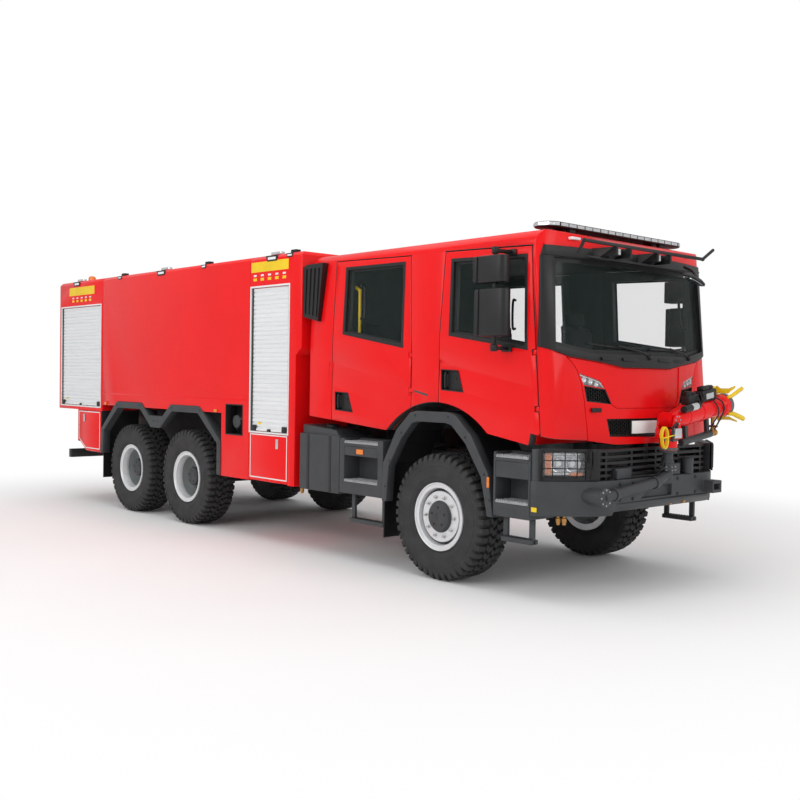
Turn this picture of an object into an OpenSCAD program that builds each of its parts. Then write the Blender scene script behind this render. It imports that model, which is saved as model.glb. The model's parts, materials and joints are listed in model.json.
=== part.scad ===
/* [Wheels] */
// Outside diameter of each tyre over its lugs
tyre_d = 1130; // [1080:5:1160]
// Width of each tyre
tyre_w = 365; // [340:5:380]
// Height of the tread lugs
lug_h = 28; // [15:1:35]
// Lugs around each half of the tread
lug_count = 22; // [16:1:26]
// Diameter of the rim flange
flange_d = 610; // [580:5:640]
// Diameter of each wheel spindle
spindle_d = 100; // [80:2:120]
// Front axle to first rear axle
wheelbase = 4300; // [4280:5:4340]
// Spacing of the two rear axles
bogie = 1400; // [1360:5:1440]
// Front tyre middle from the middle of the truck
front_track_y = 1043; // [1035:1:1050]
// Rear tyre middle from the middle of the truck
rear_track_y = 1070; // [1055:1:1080]
// Diameter of each steering kingpin
kingpin_d = 50; // [40:1:60]
// Kingpin from the middle of the truck
kingpin_y = 860; // [850:1:870]

/* [Cab] */
// Half width of the cab at the doors
cab_half_w = 1220; // [1200:5:1230]
// Half width of the cab at the roof rail
rail_half_w = 1180; // [1160:5:1195]
// Cab nose ahead of the front axle, at the lean height
cab_nose = 1326; // [1310:2:1340]
// Cab rear wall behind the front axle
cab_rear = 1890; // [1860:5:1900]
// Height of the roof crown
roof_z = 3062; // [3040:5:3080]
// Height where the sides begin to lean inwards
belt_z = 2150; // [2100:5:2180]
// Backward lean of the cab front in degrees
cab_lean = 5; // [4:0.5:6]
// Radius of the bowed front in plan
bow_r = 4500; // [4000:100:6000]
// Radius of the front corners in plan
corner_r = 180; // [160:5:220]
// Thickness of the cab walls and doors
cab_wall = 80; // [70:2:90]
// Open seam around each door
door_gap = 8; // [7:0.5:10]
// Diameter of the door hinge pins
hinge_pin_d = 12; // [10:1:14]
// Thickness of the window glass
glass_t = 8; // [5:1:12]

/* [Body] */
// Rear face of the body behind the front axle
body_rear_x = 7860; // [7800:10:7920]
// Half width of the body
body_half_w = 1265; // [1255:1:1270]
// Height of the body roof
body_top = 3076; // [3060:2:3100]
// Height of the lower edge of the body
body_low = 646; // [630:2:660]
// Depth of the roller shutter recesses
shutter_depth = 40; // [30:1:60]
// Height of one shutter slat
slat_h = 46; // [38:1:60]
// Thickness of the drop-down flaps
flap_t = 40; // [30:1:45]
// Diameter of the flap hinge pins
flap_pin_d = 16; // [12:1:20]

/* [Front] */
// Bumper face ahead of the front axle
bumper_x = 1500; // [1490:2:1510]
// Wall of the bumper
bumper_wall = 60; // [40:2:70]
// Monitor pivot ahead of the front axle
monitor_x = 1552; // [1548:1:1556]
// Monitor pivot left of the middle
monitor_y = 0; // [-10:1:10]
// Height of the monitor tilt axis
tilt_z = 1470; // [1460:2:1480]
// Rest angle of the monitor barrel above level
barrel_rise = 8; // [4:1:12]
// Length of the monitor barrel from its tilt axis
barrel_len = 900; // [860:5:920]
// Radius of the deflector forks
deflector_r = 214; // [196:2:220]

/* [Frame] */
// Height of the top of the chassis rails
rail_top = 1080; // [1070:2:1090]
// Depth of the chassis rails
rail_h = 280; // [260:5:290]
// Half width over the chassis rails
rail_half = 460; // [450:2:465]

/* [Hidden] */
$fn = 48;
// Seat clearance between fixed pieces
fit = 0.3;
// Tow jaws
jaw_h = 110;
jaw_mouth = 50;
tow_pin_d = 40;
// Radial clearance of turning pins
run = 0.05;
// Ladder stand-off behind the body
ladder_off = 30;
ladder_d = 28;
ladder_low = 1750;
// Thickness of the deflector forks
fork_t = 28;
front_reach = monitor_x + (deflector_r + fork_t / 2) * sin(45);
front_axle_x = (body_rear_x + ladder_off + ladder_d / 2 - front_reach) / 2;
tyre_r = tyre_d / 2;
axle2_x = -wheelbase;
axle3_x = -wheelbase - bogie;
rim_r = flange_d / 2 - 48;
lean_z = 1870;
// Spray bar over the windscreen
spray_x = cab_nose + 124;
spray_z = 2895;
corner_y = cab_half_w - corner_r;
corner_a = asin(corner_y / (bow_r - corner_r));
corner_x = cab_nose - bow_r + (bow_r - corner_r) * cos(corner_a);
// Front edge of the front door at the lean height
door_edge_x = 1100;
// Height of the front, arch and rear parts of the cab's lower edge
sill_front = 1262;
sill_rear = 1390;
arch_r = 918;
arch_c = [-40, 662];
door_top = 2890;
// Hinge axis behind the door's front edge and inside the skin
hinge_back = 20;
hinge_in = 10;
front_edge = door_edge_x * cos(cab_lean);
skin_y = corner_y + sqrt(corner_r * corner_r - (front_edge - corner_x) * (front_edge - corner_x));
front_hinge = [(door_edge_x - hinge_back) * cos(cab_lean), skin_y - hinge_in];
rear_hinge = [-390, cab_half_w - hinge_in];
rear_door_edge = rear_hinge[0] + hinge_back;
hinge_h = 40;
front_hinge_z = [1440, 1900];
rear_hinge_z = [1660, 1980];
seam1 = [-6489, -6483];
seam2 = [-2932, -2926];
body_front_x = -2080;
tank_low = 1360;
lid_h = 45;
rear_low = 1274;
flare_y = body_half_w - 95;
// Half width of the bumper, flares and steps
trim_half_w = body_half_w - 3;
bumper_low = 700;
bumper_top = 985;
lamp_top = 1238;
step_low = 660;
// Inner faces of the step boxes and of the side tanks
step_in_y = trim_half_w - 312;
tank_in_y = trim_half_w - 442;

red = [0.85, 0.07, 0.08];
charcoal = [0.23, 0.24, 0.25];
black = [0.08, 0.08, 0.08];
silver = [0.75, 0.76, 0.77];

module on_truck() { translate([front_axle_x, 0, 0]) children(); }
module right() { mirror([0, 1, 0]) children(); }
module both() {
  children();
  mirror([0, 1, 0]) children();
}
module along_x(x) { translate([x[0], 0, 0]) rotate([90, 0, 90]) linear_extrude(x[1] - x[0]) children(); }
module along_y(y) { translate([0, y[1], 0]) rotate([90, 0, 0]) linear_extrude(y[1] - y[0]) children(); }
module along_z(z) { translate([0, 0, z[0]]) linear_extrude(z[1] - z[0]) children(); }
module box(x, y, z) { translate([x[0], y[0], z[0]]) cube([x[1] - x[0], y[1] - y[0], z[1] - z[0]]); }
module leaning() { translate([0, 0, lean_z]) rotate([0, -cab_lean, 0]) translate([0, 0, -lean_z]) children(); }
module rod_y(d, y) { translate([0, y[0], 0]) rotate([-90, 0, 0]) cylinder(d = d, h = y[1] - y[0]); }
module rod_x(d, x) { translate([x[0], 0, 0]) rotate([0, 90, 0]) cylinder(d = d, h = x[1] - x[0]); }
function arc(c, r, a0, a1, n) = [for (i = [0:n]) c + r * [cos(a0 + (a1 - a0) * i / n), sin(a0 + (a1 - a0) * i / n)]];
function lean_x(z) = (z - lean_z) * tan(cab_lean);
function between(a, b, t) = a + (b - a) * t;

// Wheels

module tyre() {
  w = tyre_w / 2;
  root = tyre_r - lug_h;
  bead = 150;
  side = [[rim_r + fit, bead], [flange_d / 2 + 6, bead], [flange_d / 2 + 25, w - 15], [tyre_r - 150, w],
    [tyre_r - 65, w - 5], [root, w - 32]];
  pitch = 360 / lug_count;
  color(black) {
    rotate([90, 0, 0]) rotate_extrude()
      polygon(concat(side, [for (i = [len(side) - 1:-1:0]) [side[i][0], -side[i][1]]]));
    for (half = [0, 1]) rotate([90, 0, 0]) mirror([0, 0, half]) translate([0, 0, 10])
      rotate([0, 0, half * pitch / 2]) linear_extrude(w - 22) difference() {
        polygon([for (i = [0:lug_count - 1]) for (k = [[0, root - 4], [0.06, tyre_r], [0.58, tyre_r], [0.64, root - 4]])
          k[1] * [cos((i + k[0]) * pitch), sin((i + k[0]) * pitch)]]);
        circle(r = root - 40);
      }
  }
}

// The disc stands at disc_y, outwards from the tyre's middle, with its hub out to hub_y
module rim(disc_y, hub_y) {
  barrel = [[rim_r - 14, -164], [flange_d / 2, -164], [flange_d / 2, -150 - fit], [rim_r, -150 - fit],
    [rim_r, 150 + fit], [flange_d / 2, 150 + fit], [flange_d / 2, 164], [rim_r - 14, 164]];
  disc = [[spindle_d / 2 + run, disc_y - 90], [spindle_d / 2 + 30, disc_y - 90], [spindle_d / 2 + 30, disc_y - 30],
    [190, disc_y - 30], [rim_r - 10, disc_y - 75], [rim_r - 10, disc_y - 45], [195, disc_y], [115, disc_y],
    [105, hub_y - 20], [85, hub_y], [0, hub_y], [0, disc_y + 5], [spindle_d / 2 + run, disc_y + 5]];
  color(silver) rotate([-90, 0, 0]) rotate_extrude() union() {
    polygon(barrel);
    polygon(disc);
  }
}
front_disc = 112;
front_hub = 166;
rear_disc = -12;
rear_hub = 62;

module wheel_at(x, y) { on_truck() translate([x, y, tyre_r]) children(); }

// Running gear

module chassis_frame() {
  color(charcoal) on_truck() {
    both() {
      box([-7700, 1380], [rail_half - 80, rail_half], [rail_top - rail_h, rail_top]);
      box([1379, bumper_x - bumper_wall - fit], [rail_half - 80, rail_half], [rail_top - rail_h, bumper_top]);
    }
    for (x = [-7600, -6600, -5000, -3300, -2300, -1500, 1150])
      box([x, x + 120], [-rail_half + 80, rail_half - 80], [rail_top - rail_h + 40, rail_top - 40]);
    // Subframe under the body
    both() {
      box([seam1[1] + 40, seam2[0] - 40], [rail_half - 80, rail_half], [rail_top, tank_low - fit]);
      box([seam2[1] + 40, body_front_x - 40], [rail_half - 80, rail_half], [rail_top, tank_low - fit]);
      box([-body_rear_x + 200, seam1[0] - 40], [rail_half - 80, rail_half], [rail_top, rear_low - fit]);
      // Cab mounts follow the cab's lower edge
      along_y([rail_half - 80, rail_half]) {
        polygon([[-1780, rail_top - 1], [-1620, rail_top - 1], [-1620, cab_low(-1620) - fit], [-1780, cab_low(-1780) - fit]]);
        polygon([[900, rail_top - 1], [1040, rail_top - 1], [1040, cab_low(1040) - fit], [900, cab_low(900) - fit]]);
      }
      // Outriggers that carry the step boxes
      for (o = [[-1850, tank_in_y], [-1000, step_in_y], [800, step_in_y]])
        box([o[0], o[0] + 90], [rail_half, o[1] - fit], [860, 960]);
    }
  }
}

// Height of the drive shaft at the gearbox
shaft_z = 790;
module engine() {
  color([0.35, 0.36, 0.37]) on_truck() {
    box([-150, 950], [-360, 360], [760, 1235]);
    box([-900, -150], [-230, 230], [700, 1080]);
    both() for (x = [50, 750]) box([x, x + 90], [359, rail_half - 80 - fit], [860, 960]);
    // Output flange of the gearbox
    along_x([-930, -899]) circle_at(0, shaft_z, 90);
  }
}
module circle_at(x, y, r) { translate([x, y]) circle(r = r); }

axle_eye_h = 110;
module front_axle() {
  color(charcoal) on_truck() difference() {
    union() {
      box([-60, 60], [-kingpin_y, kingpin_y], [tyre_r - 50, tyre_r + 50]);
      both() {
        translate([0, kingpin_y, tyre_r - axle_eye_h / 2]) cylinder(r = 58, h = axle_eye_h);
        // Leaf spring between its two hangers on the rail
        box([-60, 60], [rail_half - 80, rail_half], [tyre_r + 49, 660]);
        box([-640, 640], [rail_half - 80, rail_half], [640, 700]);
        for (x = [-640, 600]) box([x, x + 40], [rail_half - 80, rail_half], [660, rail_top - rail_h - fit]);
      }
    }
    both() translate([0, kingpin_y, 300]) cylinder(d = kingpin_d + 2 * run, h = 600);
  }
}

module knuckle() {
  low = tyre_r - axle_eye_h / 2 - 1;
  high = tyre_r + axle_eye_h / 2 + 1;
  back = kingpin_y + 74;
  color(charcoal) {
    translate([0, kingpin_y, low - 54]) cylinder(d = kingpin_d, h = high - low + 108);
    for (z = [[low - 54, low], [high, high + 54]]) box([-55, 55], [kingpin_y - 45, back + 40], z);
    box([-70, 70], [back, back + 40], [low - 54, high + 54]);
    translate([0, 0, tyre_r]) rod_y(spindle_d, [back + 30, front_track_y + front_disc]);
  }
}

module rear_axles() {
  color(charcoal) on_truck() {
    for (x = [axle2_x, axle3_x]) translate([x, 0, tyre_r]) {
      rod_y(190, [-800, 800]);
      rotate([-90, 0, 0]) translate([0, 0, -120]) cylinder(d = 440, h = 240);
      both() rod_y(spindle_d, [790, rear_track_y + rear_disc]);
    }
    // Drive shafts to the two axles
    drop = shaft_z - tyre_r;
    run_x = -930 - fit - axle2_x;
    translate([axle2_x, 0, tyre_r]) rotate([0, 90 - atan2(drop, run_x), 0]) cylinder(d = 90, h = norm([drop, run_x]) - 5);
    translate([0, 0, tyre_r]) rod_x(90, [axle3_x, axle2_x]);
    // Bogie leaf packs with their trunnion on the rail
    both() {
      box([axle3_x - 150, axle2_x + 150], [520, 610], [tyre_r + 70, tyre_r + 170]);
      box([(axle2_x + axle3_x) / 2 - 120, (axle2_x + axle3_x) / 2 + 120], [rail_half + fit, 610], [tyre_r + 160, rail_top - 60]);
    }
  }
}

// Cab

arch_a = [47, 136];
function arch_end(a) = arch_c + arch_r * [cos(a), sin(a)];
function line_z(a, b, x) = between(a[1], b[1], (x - a[0]) / (b[0] - a[0]));
sill_x = 1040;
sill_step = [1062, 1361];
function cab_low(x) = x > 0 ? line_z(arch_end(arch_a[0]), [sill_x, sill_front], x) : line_z([-cab_rear, sill_rear], arch_end(arch_a[1]), x);
function cab_plan(i) = concat([[-3000, -cab_half_w + i]], arc([corner_x, -corner_y], corner_r - i, -90, -corner_a, 8),
  [for (k = [-7:7]) [cab_nose - bow_r, 0] + (bow_r - i) * [cos(corner_a * k / 8), sin(corner_a * k / 8)]],
  arc([corner_x, corner_y], corner_r - i, corner_a, 90, 8), [[-3000, cab_half_w - i]]);
roof_r = 110;
function half_section(i) = concat([[cab_half_w - i, 0], [cab_half_w - i, belt_z]],
  arc([rail_half_w - roof_r, 2905], roof_r - i, 0, 72, 6), [[560, roof_z - 14 - i]]);
function flip(p) = [for (k = [len(p) - 1:-1:0]) [-p[k][0], p[k][1]]];
function cab_section(i) = concat(half_section(i), [[0, roof_z - i]], flip(half_section(i)));
function cab_side(i) = concat([[-cab_rear + i, sill_rear + i], [-cab_rear + i, 2965 - i], [-cab_rear + 25 + i, 3020 - i],
  [-cab_rear + 90 + i, 3400], [640, 3400], [700, roof_z - i], [1060, 3020 - i], [1180, 2985 - i], [1240, 2930 - i],
  [1600, 2900 - i], [1600, sill_front + i], [1360, sill_front + i], [1313, 1300 + i], [sill_step[0] - i, sill_step[1] + i],
  [sill_x - i, sill_front + i]],
  arc(arch_c, arch_r + i, arch_a[0], arch_a[1], 16));

module cab_column(i) { leaning() along_z([0, 4000]) polygon(cab_plan(i)); }
module cab_prism(i) {
  intersection() {
    cab_column(i);
    along_x([-3000, 2000]) polygon(cab_section(i));
    along_y([-2000, 2000]) polygon(cab_side(i));
  }
}
module cab_walls() {
  difference() {
    cab_prism(0);
    cab_prism(cab_wall);
  }
}
function edge_x(z) = door_edge_x - lean_x(z);
function front_door_outline(g) = [[-g, 1000], [sill_x + g, 1000], [sill_x + g, sill_front], [edge_x(sill_step[1]) + g, sill_step[1] - 4 * g],
  [edge_x(door_top) + g, door_top - 14 + g],
  [24 - g, door_top + 14 + g], [-g, 2185]];
function rear_door_outline(g) = [[-1520 - g, 1000], [rear_door_edge + g, 1000], [rear_door_edge + g, 2080],
  [-435 + g, door_top + 14 + g], [-1520 - g, door_top + 40 + g]];
front_window = [[138, 2190], [988, 2064], [945, 2789], [123, 2811]];
rear_window = [[-1342, 2232], [-507, 2097], [-528, 2832], [-1342, 2838]];
module section_core(i) { along_x([-3000, 2000]) polygon(cab_section(i)); }

// Lug with its pin, fixed to the pillar
module hinge_lug(at, zs, reach) {
  for (z = zs) translate([at[0], at[1], z]) {
    cylinder(d = 18, h = hinge_h);
    box([0, reach], [-9, 9], [0, hinge_h]);
    translate([0, 0, -26]) cylinder(d = hinge_pin_d, h = hinge_h + 52);
  }
}
module hinge_cut(at, zs) {
  for (z = zs) translate([at[0], at[1], z]) {
    box([-15, hinge_back + 30], [-14, 60], [-5, hinge_h + 5]);
    translate([0, 0, -32]) cylinder(d = hinge_pin_d + 2 * run, h = hinge_h + 64);
  }
}

windscreen_outline = [[-1085, 2072], [-700, 2010], [700, 2010], [1085, 2072], [1050, 2792], [-1050, 2792]];
// Outlines on the cab front as y and z, left half from the bottom up
front_panel_half = [[787, 1000], [790, 1400], [804, 1633], [826, 1770], [863, 1877], [905, 1935], [953, 1978], [550, 1930], [340, 1898]];
front_panel_outline = concat(front_panel_half, flip(front_panel_half));
lamp_outline = [[846, 1852], [624, 1793], [565, 1728], [806, 1756]];
mesh_outline = [[804, 1750], [563, 1722], [499, 1596], [784, 1620]];
grille_half = [[0, 1315], [544, 1329], [571, 1477]];
grille_outline = concat(grille_half, flip(grille_half));
hatch_half = [[440, 1572], [500, 1640], [545, 1924], [338, 1890]];
hatch_outline = concat(hatch_half, flip(hatch_half));
hatch_in = 8;
pocket_in = 40;
pocket_plate = 14;
module front_prism(outline, grow) { along_x([900, 2000]) offset(delta = grow) polygon(outline); }

module cab_shell() {
  color(red) on_truck() {
    difference() {
      cab_walls();
      for (s = [0, 1]) mirror([0, s, 0]) {
        difference() {
          along_y([700, 1500]) {
            polygon(front_door_outline(door_gap));
            polygon(rear_door_outline(door_gap));
          }
          section_core(cab_wall + 10);
        }
      }
      both() crease(rear_crease[0], rear_crease[1]);
      front_prism(windscreen_outline, 0);
      difference() {
        front_prism(front_panel_outline, 0.5);
        cab_column(cab_wall + 0.5);
      }
      // Seam groove round the front panel
      difference() {
        front_prism(front_panel_outline, 6);
        cab_column(12);
      }
    }
    both() {
      intersection() {
        leaning() hinge_lug(front_hinge, front_hinge_z, 60);
        cab_prism(1);
      }
      hinge_lug(rear_hinge, rear_hinge_z, 60);
    }
  }
}
// What lies under an outline on the cab front, between two depths
module front_slab(outline, grow, depth) {
  difference() {
    intersection() {
      front_prism(outline, grow);
      cab_column(depth[0]);
    }
    cab_column(depth[1]);
  }
}
module front_panel() {
  color(red) on_truck() difference() {
    intersection() {
      cab_prism(0);
      front_slab(front_panel_outline, 0, [0, cab_wall]);
    }
    front_slab(hatch_outline, 0, [-5, hatch_in]);
    front_slab(grille_outline, 0, [-5, pocket_in + fit]);
    both() {
      front_slab(lamp_outline, 0, [-5, pocket_in + fit]);
      front_slab(mesh_outline, 0, [-5, pocket_in + fit]);
      // Hatch seam
      front_slab([[500, 1600], [441, 1566], [0, 1566], [0, 1560], [443, 1560], [504, 1594]], 0, [-5, 14]);
    }
  }
}
module windscreen() {
  color([0.2, 0.28, 0.26]) on_truck() intersection() {
    leaning() difference() {
      along_z([0, 4000]) polygon(cab_plan(22));
      along_z([-1, 4001]) polygon(cab_plan(22 + glass_t));
    }
    front_prism(windscreen_outline, -0.5);
  }
}
module door_skin(outline) {
  difference() {
    intersection() {
      cab_prism(0);
      along_y([700, 1500]) polygon(outline);
    }
    section_core(cab_wall);
  }
}
// Swage line along the skin from one point to another, sharp above and running out below
module crease(a, b) {
  u = b - a;
  translate([a[0], cab_half_w, a[1]]) rotate([0, -atan2(u[1], u[0]), 0]) along_x([0, norm(u)]) polygon([[1, 0.5], [-9, -24], [0.5, -230], [4, -230], [4, 0.5]]);
}
front_crease = [[-60, 1987], [1116, 1730]];
rear_crease = [[-1560, 1955], [-140, 1650]];
front_handle = [[25, 1868], [228, 1860], [298, 1676], [30, 1692]];
rear_handle = [[-1472, 1642], [-1270, 1634], [-1198, 1450], [-1468, 1466]];
handle_in = 35;
module handle_cut(outline) { along_y([cab_half_w - handle_in, 1500]) polygon(outline); }
module front_door() {
  color(red) on_truck() difference() {
    door_skin(front_door_outline(0));
    along_y([700, 1500]) polygon(front_window);
    leaning() hinge_cut(front_hinge, front_hinge_z);
    crease(front_crease[0], front_crease[1]);
    handle_cut(front_handle);
  }
}
module rear_door() {
  color(red) on_truck() difference() {
    door_skin(rear_door_outline(0));
    along_y([700, 1500]) polygon(rear_window);
    hinge_cut(rear_hinge, rear_hinge_z);
    crease(rear_crease[0], rear_crease[1]);
    handle_cut(rear_handle);
  }
}
module door_glass(outline) {
  color([0.2, 0.28, 0.26]) on_truck() intersection() {
    difference() {
      section_core(25);
      section_core(25 + glass_t);
    }
    along_y([700, 1500]) offset(delta = -0.5) polygon(outline);
  }
}

// Cab inside: seat table holds middle x, middle y, width and floor height
seat_table = [[330, 600, 480, 1688], [330, -600, 480, 1688], [-1330, 0, 2000, 1560]];
module seats() {
  color([0.15, 0.15, 0.16]) on_truck() for (s = seat_table) translate([s[0], s[1], s[3]]) {
    box([-260, 260], [-s[2] / 2, s[2] / 2], [0, 190]);
    along_y([-s[2] / 2, s[2] / 2]) polygon([[-260, 185], [-130, 185], [-220, 780], [-330, 780]]);
  }
}
module dashboard() {
  color([0.12, 0.12, 0.13]) on_truck() {
    intersection() {
      union() {
        along_y([-1060, 1060]) polygon([[860, 1560], [1160, 1560], [1160, 1960], [900, 1930], [840, 1800]]);
        // Seat pedestals
        for (s = seat_table) box([s[0] - 200, s[0] + 200], [s[1] - 180, s[1] + 180], [1300, s[3] - fit]);
      }
      cab_prism(cab_wall + fit);
    }
    // Steering column and wheel
    translate([860, 600, 1840]) rotate([0, -60, 0]) {
      translate([0, 0, -40]) cylinder(d = 60, h = 170);
      translate([0, 0, 128]) rotate_extrude() translate([215, 0]) circle(d = 32);
      for (a = [90, 210, 330]) rotate([0, 0, a]) translate([0, 0, 128]) rod_x(26, [0, 215]);
    }
  }
}

// Cab outside

module cowl() {
  color(black) on_truck() intersection() {
    leaning() difference() {
      along_z([0, 4000]) polygon(cab_plan(-14));
      along_z([-1, 4001]) polygon(cab_plan(-fit));
    }
    along_x([900, 2000]) polygon([[-1195, 2058], [-1163, 2799], [-1052, 2799],
      [-1080, 2080], [-700, 2020], [700, 2020], [1080, 2080], [1052, 2799], [1163, 2799], [1195, 2058],
      [953, 1986], [550, 1938], [340, 1906], [-340, 1906], [-550, 1938], [-953, 1986]]);
  }
}
module visor() {
  color(black) on_truck() {
    // Band round the head of the windscreen
    intersection() {
      leaning() difference() {
        along_z([0, 4000]) polygon(cab_plan(-14));
        along_z([-1, 4001]) polygon(cab_plan(-fit));
      }
      along_x([1000, 2000]) polygon([[-1160, 2800], [1160, 2800], [1135, 2885], [-1135, 2885]]);
    }
    // Sun blade below the spray bar
    intersection() {
      leaning() difference() {
        along_z([0, 4000]) polygon(cab_plan(-150));
        along_z([-1, 4001]) polygon(cab_plan(-8));
      }
      along_x([1000, 2000]) polygon([[-720, 2600], [780, 2600], [780, 2900], [-720, 2900]]);
      along_y([-2000, 2000]) polygon([[1150, 2838], [1150, 2824], [1450, 2764], [1450, 2778]]);
    }
    // Spray bar on posts ahead of the visor
    translate([spray_x, 0, spray_z]) {
      rod_y(30, [-1070, 640]);
      difference() {
        for (y = [-640, -450, -60, 130]) box([-280, 6], [y - 12, y + 12], [-85, -8]);
        translate([-spray_x, 0, -spray_z]) cab_prism(-fit);
      }
      // End nozzles
      translate([0, -1070, 0]) rotate([0, 30, 0]) along_z([-110, 0]) circle(d = 28);
      translate([0, 640, 0]) rotate([-60, 0, 0]) along_z([-10, 200]) circle(d = 28);
      sphere_pair([-1070, 640], 36);
    }
  }
}
module sphere_pair(ys, d) { for (y = ys) translate([0, y, 0]) sphere(d = d); }
light_bar_x = 920;

module light_bar() {
  color(black) on_truck() translate([light_bar_x, 0, 0]) {
    along_z([3062, 3104]) union() {
      square([240, 1730], center = true);
      for (s = [-1, 1]) translate([0, s * 865]) circle(d = 240);
    }
    difference() {
      both() for (x = [-70, 70]) box([x - 20, x + 20], [620, 700], [3000, 3063]);
      translate([-light_bar_x, 0, 0]) cab_prism(-fit);
    }
  }
}
module mirror_arm() {
  arm_y = 1385;
  color(black) on_truck() {
    // Housings, front to back as x pairs and height pairs
    for (h = [[[640, 950], [2140, 2525]], [[620, 930], [2575, 2795]]])
      along_z(h[1]) polygon(concat(arc([h[0][0] + 60, arm_y], 60, 90, 270, 8), arc([h[0][1] - 60, arm_y], 60, -90, 90, 8)));
    translate([800, arm_y, 0]) along_z([2030, 2850]) circle(d = 36);
    for (z = [2030, 2822]) box([780, 820], [mirror_root(z), arm_y], [z, z + 30]);
  }
}
function mirror_root(z) = (z < belt_z ? cab_half_w : between(cab_half_w, rail_half_w, (z - belt_z) / (2905 - belt_z))) + fit;

// Front end

// Half of the bumper in plan: front, slanted lamp face and side, joined by two arcs
nose_r = 400;
nose_c = [bumper_x - nose_r, trim_half_w - 599];
side_r = 90;
face_a = 37.7;
face_n = [cos(face_a), sin(face_a)];
bumper_half_w = trim_half_w - 7;
side_c = [(nose_c * face_n + nose_r - side_r - (bumper_half_w - side_r) * face_n[1]) / face_n[0], bumper_half_w - side_r];
bumper_half = concat(arc(nose_c, nose_r, 0, face_a, 6), arc(side_c, side_r, face_a, 90, 5), [[700, bumper_half_w]]);
bumper_outline = concat(bumper_half, [for (k = [len(bumper_half) - 1:-1:0]) [bumper_half[k][0], -bumper_half[k][1]]]);
bumper_back = 1102;
module bumper_plan(i) {
  intersection() {
    offset(delta = -i) polygon(bumper_outline);
    translate([bumper_back, -2000]) square([1000, 4000]);
  }
}
lamp_c = [1000, trim_half_w - 412];
module lamp_sector(a, i) {
  intersection() {
    polygon([for (k = [[0, 0], [700, a[0]], [900, 40], [700, a[1]]]) lamp_c + k[0] * [cos(k[1]), sin(k[1])]]);
    difference() {
      bumper_plan(i[0]);
      bumper_plan(i[1]);
    }
  }
}
module bumper() {
  color(charcoal) on_truck() difference() {
    union() {
      along_z([bumper_low, bumper_top]) difference() {
        bumper_plan(0);
        bumper_plan(bumper_wall);
      }
      along_z([bumper_top - 1, lamp_top]) difference() {
        bumper_plan(12);
        bumper_plan(110);
        translate([1000, -830]) square([900, 1660]);
      }
    }
    both() along_z([1020, 1215]) lamp_sector([10, 64], [-1, 95]);
    // Raised middle of the lower edge
    along_x([1000, 2000]) polygon([[-760, 600], [-640, 790], [900, 790], [1000, 600]]);
    // Hollow beside the swing pipe
    along_x([bumper_x - 40, 2000]) polygon([[-300, 816], [150, 816], [150, 916], [-160, 916]]);
  }
  color(charcoal) on_truck() {
    tow_jaw([bumper_x + 45, 720, 860], 1);
    // Skid plate under the raised middle
    intersection() {
      along_y([-640, 900]) polygon([[bumper_x, 800], [bumper_x, 775], [bumper_x - 125, 702], [bumper_x - 137, 716], [bumper_x - 58, 800]]);
      along_z([600, 900]) bumper_plan(4);
    }
  }
}
// Tow jaw with a vertical pin bore, mouth towards dir along X
module tow_jaw(at, dir) {
  translate(at) difference() {
    box([-55, 55], [-75, 75], [-jaw_h / 2, jaw_h / 2]);
    box([dir > 0 ? -25 : -70, dir > 0 ? 70 : 25], [-50, 50], [-jaw_mouth / 2, jaw_mouth / 2]);
    translate([0, 0, -100]) cylinder(d = tow_pin_d, h = 200);
  }
}
module grille() {
  color(black) on_truck() {
    for (z = [1010, 1060, 1110, 1160, 1210]) along_z([z, z + 22]) intersection() {
      difference() {
        bumper_plan(60);
        bumper_plan(105);
      }
      translate([1000, -830 + fit]) square([900, 1660 - 2 * fit]);
    }
    // Mesh plates in the pockets of the front panel
    front_slab(grille_outline, -0.5, [pocket_in - pocket_plate, pocket_in]);
    both() front_slab(mesh_outline, -0.5, [pocket_in - pocket_plate, pocket_in]);
    for (y = [-700, -350, 0, 350, 700]) box([bumper_x - 100, bumper_x - 70], [y - 12, y + 12], [bumper_top + fit, 1232]);
  }
}
// Lamp table on the body sides: x, length and height of each lamp's top edge
body_lamp_table = [[-7300, 180], [-4900, 180], [-2520, 180], [-6000, 90], [-3900, 90], [-2200, 90]];
module lamps() {
  color([0.9, 0.9, 0.88]) on_truck() {
    both() {
      along_z([1020 + fit, 1215 - fit]) lamp_sector([10.1, 63.9], [20, 94]);
      front_slab(lamp_outline, -0.5, [4, pocket_in]);
      // Side markers
      for (x = [-6371, -3601]) box([x - 32, x + 32], [body_half_w + fit, body_half_w + 14], [1362, 1398]);
      for (l = body_lamp_table)
        box([l[0] - l[1] / 2, l[0] + l[1] / 2], [body_half_w - 105, body_half_w - 45], [body_top + fit, body_top + 34]);
      translate([-7600, 900, body_top + fit]) cylinder(d = 130, h = 120);
      // Tail lamps in a stack on the rear face
      for (z = [1330, 1470, 1610]) translate([-body_rear_x - fit, 1150, z]) rotate([0, -90, 0]) cylinder(d = 120, h = 30);
    }
  }
}
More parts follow.
